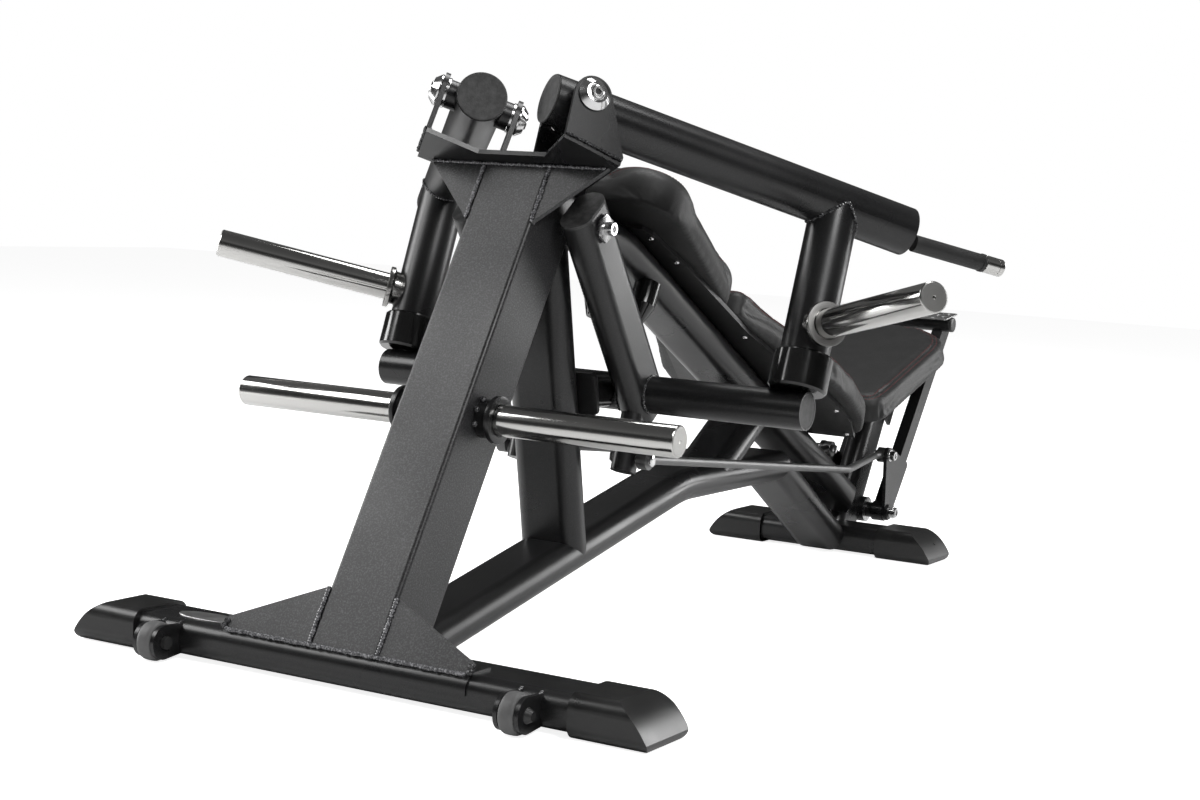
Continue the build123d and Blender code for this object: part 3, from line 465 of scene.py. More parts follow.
@dataclass(frozen=True)
class Studio:
    """Pale floor, white surroundings and large soft lamps."""

    floor_half: float = 12.0
    floor_glow: float = 0.86

    def floor_material(self) -> bpy.types.Material:
        """Faintly cloudy near-white paint for the floor."""
        paint = Shader("pale_floor")
        cloud = paint.noise(0.7, 3.0)
        paint.feed("Base Color", paint.tint(cloud, 0.3, 0.7, (0.93,) * 3, (0.96,) * 3))
        paint.fix(Roughness=0.6, Specular_IOR_Level=0.2, Emission_Color=(1.0, 1.0, 1.0))
        ray = paint.tree.nodes.new("ShaderNodeLightPath")
        glow = paint.spread(ray.outputs["Is Camera Ray"], 0.0, 1.0, 0.0, self.floor_glow)
        paint.feed("Emission Strength", glow)
        return paint.material

    def build(self) -> None:
        """Lay the floor, set the surroundings and hang the lamps."""
        bm = bmesh.new()
        bmesh.ops.create_grid(bm, x_segments=8, y_segments=8, size=self.floor_half)
        mesh = bpy.data.meshes.new("floor")
        bm.to_mesh(mesh)
        bm.free()
        mesh.materials.append(self.floor_material())
        floor = bpy.data.objects.new("floor", mesh)
        bpy.context.scene.collection.objects.link(floor)
        self.surroundings()
        self.lamp("key", (3.4, -2.2, 3.6), (0.2, -0.2, 0.4), 1.6, 1.6, 110.0)
        self.lamp("side", (3.4, 4.9, 1.7), (0.0, 0.0, 0.6), 2.2, 2.6, 150.0)
        self.lamp("rear", (-3.4, -3.0, 3.6), (0.0, -0.6, 0.5), 2.4, 2.0, 95.0)
        self.lamp("left", (-3.2, -1.2, 1.2), (0.0, -0.4, 0.6), 0.8, 2.4, 60.0)
        self.lamp("top", (0.2, 0.9, 4.2), (0.0, 0.3, 0.3), 3.2, 1.2, 95.0)
        bpy.context.scene.view_settings.view_transform = "Standard"

    def surroundings(self) -> None:
        """White to the camera, and a darker room with bright bands to everything that reflects."""
        world = bpy.data.worlds.new("studio")
        world.use_nodes = True
        tree = world.node_tree
        tree.nodes.clear()
        ray = tree.nodes.new("ShaderNodeLightPath")
        white = tree.nodes.new("ShaderNodeBackground")
        white.inputs["Color"].default_value = (1.0, 1.0, 1.0, 1.0)
        room = tree.nodes.new("ShaderNodeBackground")
        place = tree.nodes.new("ShaderNodeTexCoord")
        split = tree.nodes.new("ShaderNodeSeparateXYZ")
        ramp = tree.nodes.new("ShaderNodeValToRGB")
        shift = tree.nodes.new("ShaderNodeMapRange")
        shift.inputs["From Min"].default_value = -1.0
        tree.links.new(place.outputs["Generated"], split.inputs[0])
        tree.links.new(split.outputs["Z"], shift.inputs["Value"])
        tree.links.new(shift.outputs["Result"], ramp.inputs["Fac"])
        bands = ((0.0, 0.20), (0.47, 0.18), (0.53, 0.05), (0.64, 0.03), (0.74, 0.14), (0.86, 0.10),
                 (1.0, 0.08))
        ramp.color_ramp.elements[0].color = (bands[0][1],) * 3 + (1.0,)
        ramp.color_ramp.elements[1].color = (bands[-1][1],) * 3 + (1.0,)
        for height, level in bands[1:-1]:
            ramp.color_ramp.elements.new(height).color = (level, level, level, 1.0)
        tree.links.new(ramp.outputs["Color"], room.inputs["Color"])
        mix = tree.nodes.new("ShaderNodeMixShader")
        out = tree.nodes.new("ShaderNodeOutputWorld")
        tree.links.new(ray.outputs["Is Camera Ray"], mix.inputs[0])
        tree.links.new(room.outputs[0], mix.inputs[1])
        tree.links.new(white.outputs[0], mix.inputs[2])
        tree.links.new(mix.outputs[0], out.inputs["Surface"])
        bpy.context.scene.world = world

    def lamp(self, name: str, place: tuple, target: tuple, width: float, height: float, power: float) -> None:
        """Hang one soft rectangular lamp.

        Args:
            name: what to call it.
            place: its centre, in metres.
            target: the point that it faces.
            width: its width in metres.
            height: its height in metres.
            power: its power in watts.
        """
        data = bpy.data.lights.new(name, "AREA")
        data.shape = "RECTANGLE"
        data.size, data.size_y, data.energy = width, height, power
        lamp = bpy.data.objects.new(name, data)
        look = (Vector(target) - Vector(place)).to_track_quat("-Z", "Y")
        lamp.matrix_world = Matrix.Translation(place) @ look.to_matrix().to_4x4()
        bpy.context.scene.collection.objects.link(lamp)


@dataclass(frozen=True)
class Camera:
    """The viewpoint: behind the mast, to its right and a little above the seat."""

    place: tuple = (1823.1, -2480.7, 761.3)
    yaw: float = 0.517
    pitch: float = 0.099
    roll: float = 0.055
    lens: float = 62.451

    def build(self) -> bpy.types.Object:
        """Make the camera and hand it to the scene.

        Returns:
            The camera object.
        """
        cos, sin = math.cos, math.sin
        look = Vector((-sin(self.yaw) * cos(self.pitch), cos(self.yaw) * cos(self.pitch), -sin(self.pitch)))
        side = Vector((cos(self.yaw), sin(self.yaw), 0.0))
        up = side.cross(look)
        right = side * cos(self.roll) + up * sin(self.roll)
        top = up * cos(self.roll) - side * sin(self.roll)
        data = bpy.data.cameras.new("camera")
        data.sensor_width = 36.0
        data.lens = self.lens
        data.clip_end = 50.0
        camera = bpy.data.objects.new("camera", data)
        turn = Matrix((right, top, -look)).transposed().to_4x4()
        camera.matrix_world = Matrix.Translation(TO_PART @ Vector(self.place)) @ turn
        bpy.context.scene.collection.objects.link(camera)
        bpy.context.scene.camera = camera
        return camera


class Finishes:
    """Every finish on the machine, painted once."""

    def __init__(self) -> None:
        """Paint them all."""
        self.coat = PowderCoat().paint()
        self.coarse = PowderCoat("powder_coat_coarse", 0.010, 0.070, 0.40, 380.0).paint()
        self.bead = PowderCoat("weld_bead", 0.07, 0.40, 0.24, 260.0).paint()
        self.dark_bead = PowderCoat("coated_bead", 0.014, 0.16, 0.20, 300.0).paint()
        self.steel = TurnedSteel().paint()
        # Collars: a darker, rougher copy of the turned steel; the darker tone is painted shade, toned down
        # because the collars face a lamp.
        self.collar = TurnedSteel("collar_steel_shaded", (0.40, 0.395, 0.385), 0.20).paint()
        self.chrome = BrightMetal("chrome", 0.74, 0.09).paint()
        self.plated = BrightMetal("plated_bolt", 0.52, 0.22).paint()
        self.rod = BrightMetal("satin_rod", 0.17, 0.36).paint()
        self.satin = BrightMetal("satin_plate", 0.62, 0.30, 25.0).paint()
        self.tread = BrightMetal("tread_steel", 0.40, 0.32).paint()
        self.gloss = Moulding("gloss_urethane", 0.005, 0.008, 0.10, 900.0, 0.000004, 0.6).paint()
        self.cap = Moulding("moulded_cap", 0.007, 0.014, 0.27, 500.0, 0.00010, 0.5).paint()
        self.plug = Moulding("plug_rubber", 0.020, 0.075, 0.55, 420.0, 0.0002, 0.4, 90.0).paint()
        self.tyre = Moulding("wheel_tyre", 0.095, 0.13, 0.48, 900.0).paint()
        self.hub = Moulding("wheel_hub", 0.018, 0.03, 0.35).paint()
        self.board = Moulding("board_plastic", 0.006, 0.010, 0.36).paint()
        self.grip = Moulding("grip_rubber", 0.010, 0.018, 0.50, 900.0, 0.0002).paint()
        self.hide = Leatherette().paint()
        self.thread = Thread().paint()
        # Near-black finish for the hexagons in the bolt heads: painted shade for the inside of their sockets.
        self.socket = Moulding("socket_painted_shade", 0.003, 0.004, 0.5).paint()


# ---------------------------------------------------------------- making meshes
def settle(bm: bmesh.types.BMesh, name: str, *materials: bpy.types.Material,
           limit: float = SMOOTH_LIMIT) -> bpy.types.Object:
    """Turn a mesh drawn in station millimetres into a finished piece of the part.

    Args:
        bm: the mesh, which is freed.
        name: the piece's name.
        materials: its finishes, by face material index.
        limit: the largest angle between faces that is shaded smooth.

    Returns:
        The piece.
    """
    bmesh.ops.transform(bm, matrix=TO_PART, verts=bm.verts)
    mesh = bpy.data.meshes.new(name)
    for face in bm.faces:
        face.smooth = True
    bm.to_mesh(mesh)
    bm.free()
    mesh.set_sharp_from_angle(angle=limit)
    for material in materials:
        mesh.materials.append(material)
    piece = bpy.data.objects.new(name, mesh)
    bpy.context.scene.collection.objects.link(piece)
    return piece


def seat_on(piece: bpy.types.Object, body: str, slot: str, *nodes: str) -> bpy.types.Object:
    """Let a piece ride on a body and stand it in for nodes.

    Args:
        piece: the finished piece.
        body: the body's name.
        slot: the record's finish slot; not used.
        nodes: the nodes that it stands for.

    Returns:
        The piece.
    """
    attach(piece, body)
    if nodes:
        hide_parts(*nodes)
    log.info("%s on %s", piece.name, body)
    return piece


def fit(bm: bmesh.types.BMesh, name: str, material: bpy.types.Material, body: str, slot: str,
        *nodes: str) -> None:
    """Finish a mesh as one piece and seat it on its body.

    Args:
        bm: the mesh, drawn in station millimetres.
        name: the piece's name.
        material: its finish.
        body: the body that carries it.
        slot: its material slot in the frame; passed on, and not used.
        nodes: the frame's nodes that it stands for.
    """
    seat_on(settle(bm, name, material), body, slot, *nodes)


def mirrored(bm: bmesh.types.BMesh) -> bmesh.types.BMesh:
    """The same mesh on the other side of the machine, with its faces turned outwards again."""
    twin = bm.copy()
    bmesh.ops.scale(twin, vec=(-1.0, 1.0, 1.0), verts=twin.verts)
    bmesh.ops.reverse_faces(twin, faces=twin.faces)
    return twin


def joined(*parts: bmesh.types.BMesh) -> bmesh.types.BMesh:
    """One mesh from several, which are freed."""
    whole = bmesh.new()
    whole.verts.layers.float.new("turned")
    whole.verts.layers.float.new("faced")
    for part in parts:
        shell = bpy.data.meshes.new("shell")
        part.to_mesh(shell)
        part.free()
        whole.from_mesh(shell)
        bpy.data.meshes.remove(shell)
    return whole


def both_sides(bm: bmesh.types.BMesh) -> bmesh.types.BMesh:
    """A mesh and its mirror image as one."""
    twin = mirrored(bm)
    return joined(bm, twin)


def axis_matrix(origin: Vector, direction: Vector) -> Matrix:
    """The turn and shift that stands a piece drawn along z on an origin, along a direction."""
    return Matrix.Translation(origin) @ direction.to_track_quat("Z", "Y").to_matrix().to_4x4()


def turned(profile: Sequence[tuple], origin: Vector, direction: Vector, steps: int = 48,
           faced_from: float = None) -> bmesh.types.BMesh:
    """Spin a profile round an axis into a closed solid.

    Args:
        profile: pairs of distance along the axis and radius; it starts and ends on the axis.
        origin: where the axis starts.
        direction: where it points.
        steps: facets round the axis.
        faced_from: distance along the axis past which the surface is faced and brushed, and painted darker as
            shade by the turned steel.

    Returns:
        The mesh, with its distance along the profile in "turned".
    """
    bm = bmesh.new()
    run = bm.verts.layers.float.new("turned")
    faced = bm.verts.layers.float.new("faced")
    verts = []
    for along, radius in profile:
        vert = bm.verts.new((radius, 0.0, along))
        vert[run] = (along + radius) * MM
        vert[faced] = float(faced_from is not None and along > faced_from)
        verts.append(vert)
    edges = [bm.edges.new(pair) for pair in zip(verts, verts[1:])]
    bmesh.ops.spin(bm, geom=verts + edges, cent=(0, 0, 0), axis=(0, 0, 1), angle=math.tau, steps=steps,
                   use_merge=True)
    bmesh.ops.remove_doubles(bm, verts=bm.verts, dist=0.001)
    bmesh.ops.recalc_face_normals(bm, faces=bm.faces)
    bmesh.ops.transform(bm, matrix=axis_matrix(origin, direction.normalized()), verts=bm.verts)
    return bm


def hexagon(across: float, thick: float, origin: Vector, direction: Vector,
            edge: float = 1.0) -> bmesh.types.BMesh:
    """Hexagonal head or nut with softened edges.

    Args:
        across: width over the flats.
        thick: height along the axis.
        origin: centre of the underside.
        direction: the axis.
        edge: width of the softened edge.

    Returns:
        The mesh.
    """
    bm = bmesh.new()
    radius = across / math.sqrt(3.0)
    bmesh.ops.create_cone(bm, cap_ends=True, segments=6, radius1=radius, radius2=radius, depth=thick,
                          matrix=Matrix.Translation((0, 0, thick / 2)))
    bmesh.ops.bevel(bm, geom=bm.edges[:], offset=edge, affect="EDGES", segments=2, profile=0.5, material=-1)
    bmesh.ops.transform(bm, matrix=axis_matrix(origin, direction.normalized()), verts=bm.verts)
    return bm


def socket(across: float, depth: float, origin: Vector, direction: Vector) -> bmesh.types.BMesh:
    """Near-black hexagon sunk into a screw head's recess: painted shade for the dark inside of its hexagonal
    socket.

    Args:
        across: width over the flats.
        depth: how deep the dark hexagon is drawn.
        origin: centre of the mouth.
        direction: the axis, pointing out.

    Returns:
        The mesh.
    """
    bm = bmesh.new()
    radius = across / math.sqrt(3.0)
    bmesh.ops.create_cone(bm, cap_ends=True, segments=6, radius1=radius, radius2=radius * 0.9, depth=depth,
                          matrix=Matrix.Translation((0, 0, 0.15 - depth / 2)) @ Matrix.Rotation(math.pi, 4,
                                                                                                "X"))
    bmesh.ops.transform(bm, matrix=axis_matrix(origin, direction.normalized()), verts=bm.verts)
    return bm


def walk(points: Sequence[Vector], pitch: float, closed: bool = False) -> list:
    """Points and directions at an even pitch along a line.

    Args:
        points: the line's corners.
        pitch: the wanted distance between points.
        closed: whether the line returns to its start.

    Returns:
        Pairs of point and unit direction.
    """
    corners = list(points) + ([points[0]] if closed else [])
    lengths = [(b - a).length for a, b in zip(corners, corners[1:])]
    total = sum(lengths)
    count = max(2, round(total / pitch))
    stops = [total * (i + 0.5) / count for i in range(count)]
    found, passed, leg = [], 0.0, 0
    for stop in stops:
        while leg < len(lengths) - 1 and passed + lengths[leg] < stop:
            passed += lengths[leg]
            leg += 1
        heading = (corners[leg + 1] - corners[leg]).normalized()
        found.append((corners[leg] + heading * (stop - passed), heading))
    return found


def drops(forms: Sequence[Matrix], around: int, along: int) -> bmesh.types.BMesh:
    """Many small rounded drops, drawn in short batches and then joined.

    Args:
        forms: the place, turn and half sizes of each drop.
        around: facets round a drop.
        along: facets from pole to pole.

    Returns:
        The mesh.
    """
    batches = []
    for first in range(0, len(forms), DROPS_PER_BATCH):
        bm = bmesh.new()
        for form in forms[first:first + DROPS_PER_BATCH]:
            bmesh.ops.create_uvsphere(bm, u_segments=around, v_segments=along, radius=1.0, matrix=form)
        batches.append(bm)
    return joined(*batches)


def beads(line: Sequence[Vector], size: float, seed: int, closed: bool = False,
          flat: float = 0.62) -> bmesh.types.BMesh:
    """Rope-like weld: small overlapping drops laid along a seam.

    Args:
        line: the seam's corners.
        size: half the bead's width.
        seed: seed of the small unevenness.
        closed: whether the seam returns to its start.
        flat: height of a drop as a share of its half width.

    Returns:
        The mesh.
    """
    chance = random.Random(seed)
    forms = []
    for place, heading in walk(line, size * 1.3, closed):
        swell = size * chance.uniform(0.85, 1.2)
        shift = Vector([chance.uniform(-0.14, 0.14) * size for _ in range(3)])
        form = Matrix.Diagonal((swell, swell * flat + size * 0.25, swell * 0.8, 1.0))
        forms.append(axis_matrix(place + shift, heading) @ form)
    return drops(forms, 8, 5)


def rounded(outline: Sequence[tuple], radii: Sequence[float], steps: int = 9) -> list:
    """A closed outline with an arc at each corner.

    Args:
        outline: the corners, in order.
        radii: the arc's radius at each corner.
        steps: points on each arc.

    Returns:
        The points of the rounded outline.
    """
    corners = [Vector((x, y, 0.0)) for x, y in outline]
    points = []
    for index, corner in enumerate(corners):
        back = (corners[index - 1] - corner).normalized()
        ahead = (corners[(index + 1) % len(corners)] - corner).normalized()
        half = back.angle(ahead) / 2
        centre = corner + (back + ahead).normalized() * radii[index] / math.sin(half)
        start = (corner + back * radii[index] / math.tan(half) - centre).normalized()
        end = (corner + ahead * radii[index] / math.tan(half) - centre).normalized()
        points += [centre + start.slerp(end, step / (steps - 1)) * radii[index] for step in range(steps)]
    return points


def ring_on_tube(centre: Vector, direction: Vector, radius: float, other: Vector, other_dir: Vector,
                 other_r: float, steps: int = 40, far: bool = True) -> list:
    """The line where one round tube meets another.

    Args:
        centre: a point on the first tube's axis.
        direction: the first tube's axis.
        radius: the first tube's radius.
        other: a point on the second tube's axis.
        other_dir: the second tube's axis.
        other_r: the second tube's radius.
        steps: points round the first tube.
        far: whether to take the crossing further along the first axis.

    Returns:
        The points that exist, in order.
    """
    direction, other_dir = direction.normalized(), other_dir.normalized()
    first = direction.orthogonal().normalized()
    second = direction.cross(first)
    points = []
    for step in range(steps):
        angle = math.tau * step / steps
        base = centre + (first * math.cos(angle) + second * math.sin(angle)) * radius - other
        flat_base = base - other_dir * base.dot(other_dir)
        flat_dir = direction - other_dir * direction.dot(other_dir)
        a = flat_dir.length_squared
        b = 2 * flat_base.dot(flat_dir)
        c = flat_base.length_squared - other_r ** 2
        room = b * b - 4 * a * c
        if room >= 0:
            along = (-b + (math.sqrt(room) if far else -math.sqrt(room))) / (2 * a)
            points.append(other + base + direction * along)
    return points


def dress(material: bpy.types.Material, *nodes: str) -> None:
    """Give carried-over nodes a finish.

    Args:
        material: the finish.
        nodes: the nodes' names.
    """
    for name in nodes:
        node = bpy.data.objects[name]
        if not node.material_slots:
            node.data.materials.append(material)
        for slot_ in node.material_slots:
            slot_.material = material


# ---------------------------------------------------------------- horns
@dataclass
class Horn:
    """A plate horn: a polished bar with a chamfered end, standing in a stepped collar."""

    root: Vector
    direction: Vector
    collar: float
    reach: float

    def bar(self) -> bmesh.types.BMesh:
        """The polished bar from the collar's face to its chamfered end."""
        start, end = self.collar, self.reach
        profile = [(start - 6, 0.0), (start - 6, 21.0), (start - 0.2, 21.0), (start, HORN_R),
                   (start + 3, HORN_R), (end - 2.4, HORN_R), (end - 1.9, HORN_R - 0.2),
                   (end - 0.4, HORN_R - 1.9), (end, HORN_R - 2.5), (end, 12.0), (end, 3.2), (end - 1.2, 2.2),
                   (end - 1.6, 0.0)]
        return turned(profile, self.root, self.direction, 72, end - 0.5)

    def sleeve(self, start: float, lip: float, inner: float) -> bmesh.types.BMesh:
        """The collar: a neck, a fillet and a wider lip that the plates rest against.

        Args:
            start: where the collar leaves its tube.
            lip: thickness of the wide lip.
            inner: radius of the neck.

        Returns:
            The mesh.
        """
        end = self.collar
        profile = [(start, 0.0), (start, inner), (end - lip - 4, inner), (end - lip - 2.2, inner + 0.7),
                   (end - lip - 0.8, inner + 2.4), (end - lip, inner + 4.5), (end - lip, 37.0),
                   (end - lip + 1, 38.0), (end - 1.6, 38.0), (end - 0.5, 37.5), (end, 36.2), (end, 26.6),
                   (end - 1.1, 25.7), (end - 1.1, 0.0)]
        return turned(profile, self.root, self.direction, 64, end - 0.9)


@dataclass
class StorageHorns:
    """The pair of plate horns on the sides of the mast."""

    collar: float = 94.5
    reach: float = 410.9

    def build(self, finish: Finishes) -> None:
        """Make the bars and their collars, and weld the collars to the mast."""
        horn = Horn(STORE, X_AXIS, self.collar, self.reach)
        fit(both_sides(horn.bar()), "storage_horn_bars", finish.steel, "frame", "horn_steel", "storage_horns")
        sleeve = horn.sleeve(MAST_HALF + 0.2, 9.0, 31.0)
        fit(both_sides(sleeve), "storage_horn_sleeves", finish.coat, "frame", "powder_coat",
            "storage_horn_collars")
        blobs = bmesh.new()
        for angle in (110.0, 150.0, 190.0):
            turn = math.radians(angle)
            place = STORE + Vector((MAST_HALF + 4.0, math.cos(turn) * 33.0, math.sin(turn) * 33.0))
            bmesh.ops.create_uvsphere(blobs, u_segments=14, v_segments=9, radius=5.0,
                                      matrix=Matrix.Translation(place))
        fit(both_sides(blobs), "storage_horn_tacks", finish.dark_bead, "frame", "powder_coat")


# ---------------------------------------------------------------- feet and wheels
@dataclass
class Feet:
    """Foot tubes with moulded end caps and a bare oval plate on the left."""

    plate_spot: tuple = (-295.0, 38.0)
    plate_half: tuple = (60.0, 24.0)

    def build(self, finish: Finishes) -> None:
        """Coat the tubes, the caps and the saddle and set the oval plate on the rear foot."""
        dress(finish.coat, "rear_foot", "front_foot")
        dress(finish.cap, "foot_caps")
        dress(finish.coat, "mast_saddle")
        bm = bmesh.new()
        bmesh.ops.create_circle(bm, cap_ends=True, segments=72, radius=1.0)
        bmesh.ops.scale(bm, vec=(*self.plate_half, 1.0), verts=bm.verts)
        made = bmesh.ops.extrude_face_region(bm, geom=bm.faces[:])
        lifted = [item for item in made["geom"] if isinstance(item, bmesh.types.BMVert)]
        bmesh.ops.translate(bm, vec=(0, 0, 1.6), verts=lifted)
        rim = [edge for edge in bm.edges if all(vert.co.z > 1.0 for vert in edge.verts)]
        bmesh.ops.bevel(bm, geom=rim, offset=0.9, affect="EDGES", segments=3, profile=0.5, material=-1)
        bmesh.ops.recalc_face_normals(bm, faces=bm.faces)
        bmesh.ops.translate(bm, vec=(*self.plate_spot, FOOT_TOP - 0.4), verts=bm.verts)
        fit(bm, "foot_oval_plate", finish.satin, "frame", "rod_steel")


@dataclass
class Wheels:
    """Two transport wheels behind the rear foot, each with a tyre, a hub and a bolt."""

    x: float = 331.5
    station: float = -48.0
    height: float = 32.0
    radius: float = 31.0
    half_width: float = 13.0

    def tyre(self) -> bmesh.types.BMesh:
        """The crowned tyre, with a shallow recess for the hub on each side."""
        half, rim = self.half_width, self.radius
        profile = [(-half + 3, 0.0), (-half + 3, 19.5), (-half + 0.6, 21.0), (-half, 22.4),
                   (-half + 0.6, 27.2), (-half + 2.2, 29.4), (-half + 5.0, 30.6), (-4.0, rim - 0.05),
                   (4.0, rim - 0.05), (half - 5.0, 30.6), (half - 2.2, 29.4), (half - 0.6, 27.2),
                   (half, 22.4), (half - 0.6, 21.0), (half - 3, 19.5), (half - 3, 0.0)]
        return turned(profile, spot(self.x, self.station, self.height), X_AXIS, 56)

    def hub(self) -> bmesh.types.BMesh:
        """The dark hub that shows inside the tyre's recess."""
        half = self.half_width
        profile = [(-half + 1.4, 0.0), (-half + 1.4, 10.5), (-half + 2.6, 12.0), (-half + 2.6, 19.0),
                   (half - 2.6, 19.0), (half - 2.6, 12.0), (half - 1.4, 10.5), (half - 1.4, 0.0)]
        return turned(profile, spot(self.x, self.station, self.height), X_AXIS, 40)

    def build(self, finish: Finishes) -> None:
        """Make both wheels and dress their forks and axles."""
        for side in Side:
            for make, word, material in ((self.tyre, "tyre", finish.tyre), (self.hub, "hub", finish.hub)):
                bm = make() if side is Side.RIGHT else mirrored(make())
                piece = settle(bm, f"wheel_{word}_{side.word}", material)
                stood = (f"transport_wheel_{side.word}",) if word == "tyre" else ()
                seat_on(piece, f"transport_wheel_{side.word}", "wheel_tyre", *stood)
        dress(finish.coat, "wheel_forks")
        dress(finish.hub, "wheel_axles")
        seams = []
        for outer in (-1, 1):
            x = self.x + outer * 17.0
            seams.append(beads([spot(x, -16.0, 50.0), spot(x, -16.5, 14.0)], 3.2, 31 + outer))
            seams.append(beads([spot(x, -14.0, 54.0), spot(x, -4.0, 58.0)], 3.2, 41 + outer))
        fit(both_sides(joined(*seams)), "wheel_fork_welds", finish.dark_bead, "frame", "powder_coat")


# ---------------------------------------------------------------- mast
@dataclass
class Mast:
    """The leaning mast, its gussets, the pivot bracket on top and the welds that join them."""

    gusset_t: float = 8.0
    bead: float = 3.4
    seam_runs: tuple = ((748, 852), (96, 4))
    ear_faces: tuple = (-68.0, 60.0)
    ear_t: float = 8.0
    bracket_t: float = 9.0

    def on_rear(self, x: float, up: float, lift: float = 0.0) -> Vector:
        """A point on the mast's rear face plane, lifted off it to the rear."""
        return MAST.point(x, -lift, up)

    def build(self, finish: Finishes) -> None:
        """Coat the mast and lay its weld seams."""
        dress(finish.coarse, "mast", "mast_gussets")
        dress(finish.coat, "pivot_bracket")
        edge, half = MAST_HALF, self.bead * 0.35
        seams = []
        for lift in (half, -self.gusset_t):
            for start, end in self.seam_runs:
                line = [self.on_rear(edge, start, lift), self.on_rear(edge, end, lift)]
                seams.append(beads(line, self.bead, len(seams) + 1))
        bright = both_sides(joined(*seams))
        foot_line = [spot(-222.0, -12.8, 62.5), spot(222.0, -12.8, 62.5)]
        head_line = [self.on_rear(-166, 851, 1.5), self.on_rear(166, 851, 1.5)]
        rear = joined(bright, beads(foot_line, 4.0, 5), beads(head_line, 3.2, 6))
        fit(rear, "mast_welds", finish.bead, "frame", "powder_coat")
        corner = [self.on_rear(226, 20, 0.5), self.on_rear(228, 2, 0.5)]
        blobs = both_sides(beads(corner, 6.5, 7))
        fit(blobs, "gusset_end_welds", finish.dark_bead, "frame", "powder_coat")
        for_ears = []
        for inner in self.ear_faces:
            base = PIVOT + PIVOT_AXIS * inner
            ahead = (HEAD.across * math.sin(PIVOT_TURN) + HEAD.along * math.cos(PIVOT_TURN)).normalized()
            foot = base - MAST.normal * (PIVOT_UP - self.bracket_t)
            for offset in (0.0, self.ear_t):
                line = [foot + PIVOT_AXIS * offset - ahead * 22, foot + PIVOT_AXIS * offset + ahead * 78]
                for_ears.append(beads(line, 2.8, 11 + int(inner + offset)))
        fit(both_sides(joined(*for_ears)), "bracket_welds", finish.dark_bead, "frame", "powder_coat")


@dataclass
class PivotBolts:
    """Chrome domed bolts through the bracket ears, with bright washers beside the arm."""

    inner: float = 68.4
    outer: float = 85.0

    def dome(self, sign: int) -> bmesh.types.BMesh:
        """One domed head with a stepped ring and a screw in its middle."""
        a, b = self.inner, self.outer
        profile = [(a, 0.0), (a, 26.0), (a + 0.8, 26.9), (a + 3.2, 26.9), (a + 4.0, 26.2), (b - 4.0, 18.6),
                   (b - 3.0, 17.6), (b - 2.6, 14.2), (b - 3.4, 13.6), (b - 3.4, 11.6), (b - 1.2, 11.0),
                   (b - 0.6, 9.8), (b, 9.0), (b, 5.2), (b - 2.5, 4.6), (b - 2.5, 0.0)]
        return turned(profile, PIVOT, PIVOT_AXIS * sign, 64)

    def build(self, finish: Finishes) -> None:
        """Make both sides' bolts, the near-black hexagons painted as shade in their sockets, and the washers.
        """
        pin = [(-68.0, 0.0), (-68.0, 12.0), (68.0, 12.0), (68.0, 0.0)]
        for side in Side:
            bolt = joined(self.dome(1), self.dome(-1), turned(pin, PIVOT, PIVOT_AXIS, 40))
            # Near-black hexagons at the bottom of each head's recess: painted shade for the inside of the
            # sockets.
            socket_shades = joined(*(socket(9.0, 1.2, PIVOT + PIVOT_AXIS * sign * (self.outer - 2.4),
                                   PIVOT_AXIS * sign)
                            for sign in (1, -1)))
            washers = joined(*(turned([(55.0, 0.0), (55.0, 25.2), (55.6, 25.8), (59.2, 25.8), (59.6, 25.2),
                                       (59.6, 0.0)], PIVOT, PIVOT_AXIS * sign, 56) for sign in (1, -1)))
            if side is Side.LEFT:
                bolt, socket_shades, washers = mirrored(bolt), mirrored(socket_shades), mirrored(washers)
            word = side.word
            fit(bolt, f"pivot_bolt_heads_{word}", finish.chrome, f"pivot_bolt_{word}", "bright_bolt",
                f"pivot_bolt_{word}")
            fit(socket_shades, f"pivot_bolt_sockets_{word}", finish.socket, f"pivot_bolt_{word}", "bright_bolt")
            fit(washers, f"pivot_washers_{word}", finish.chrome, f"press_arm_{word}", "bright_bolt")


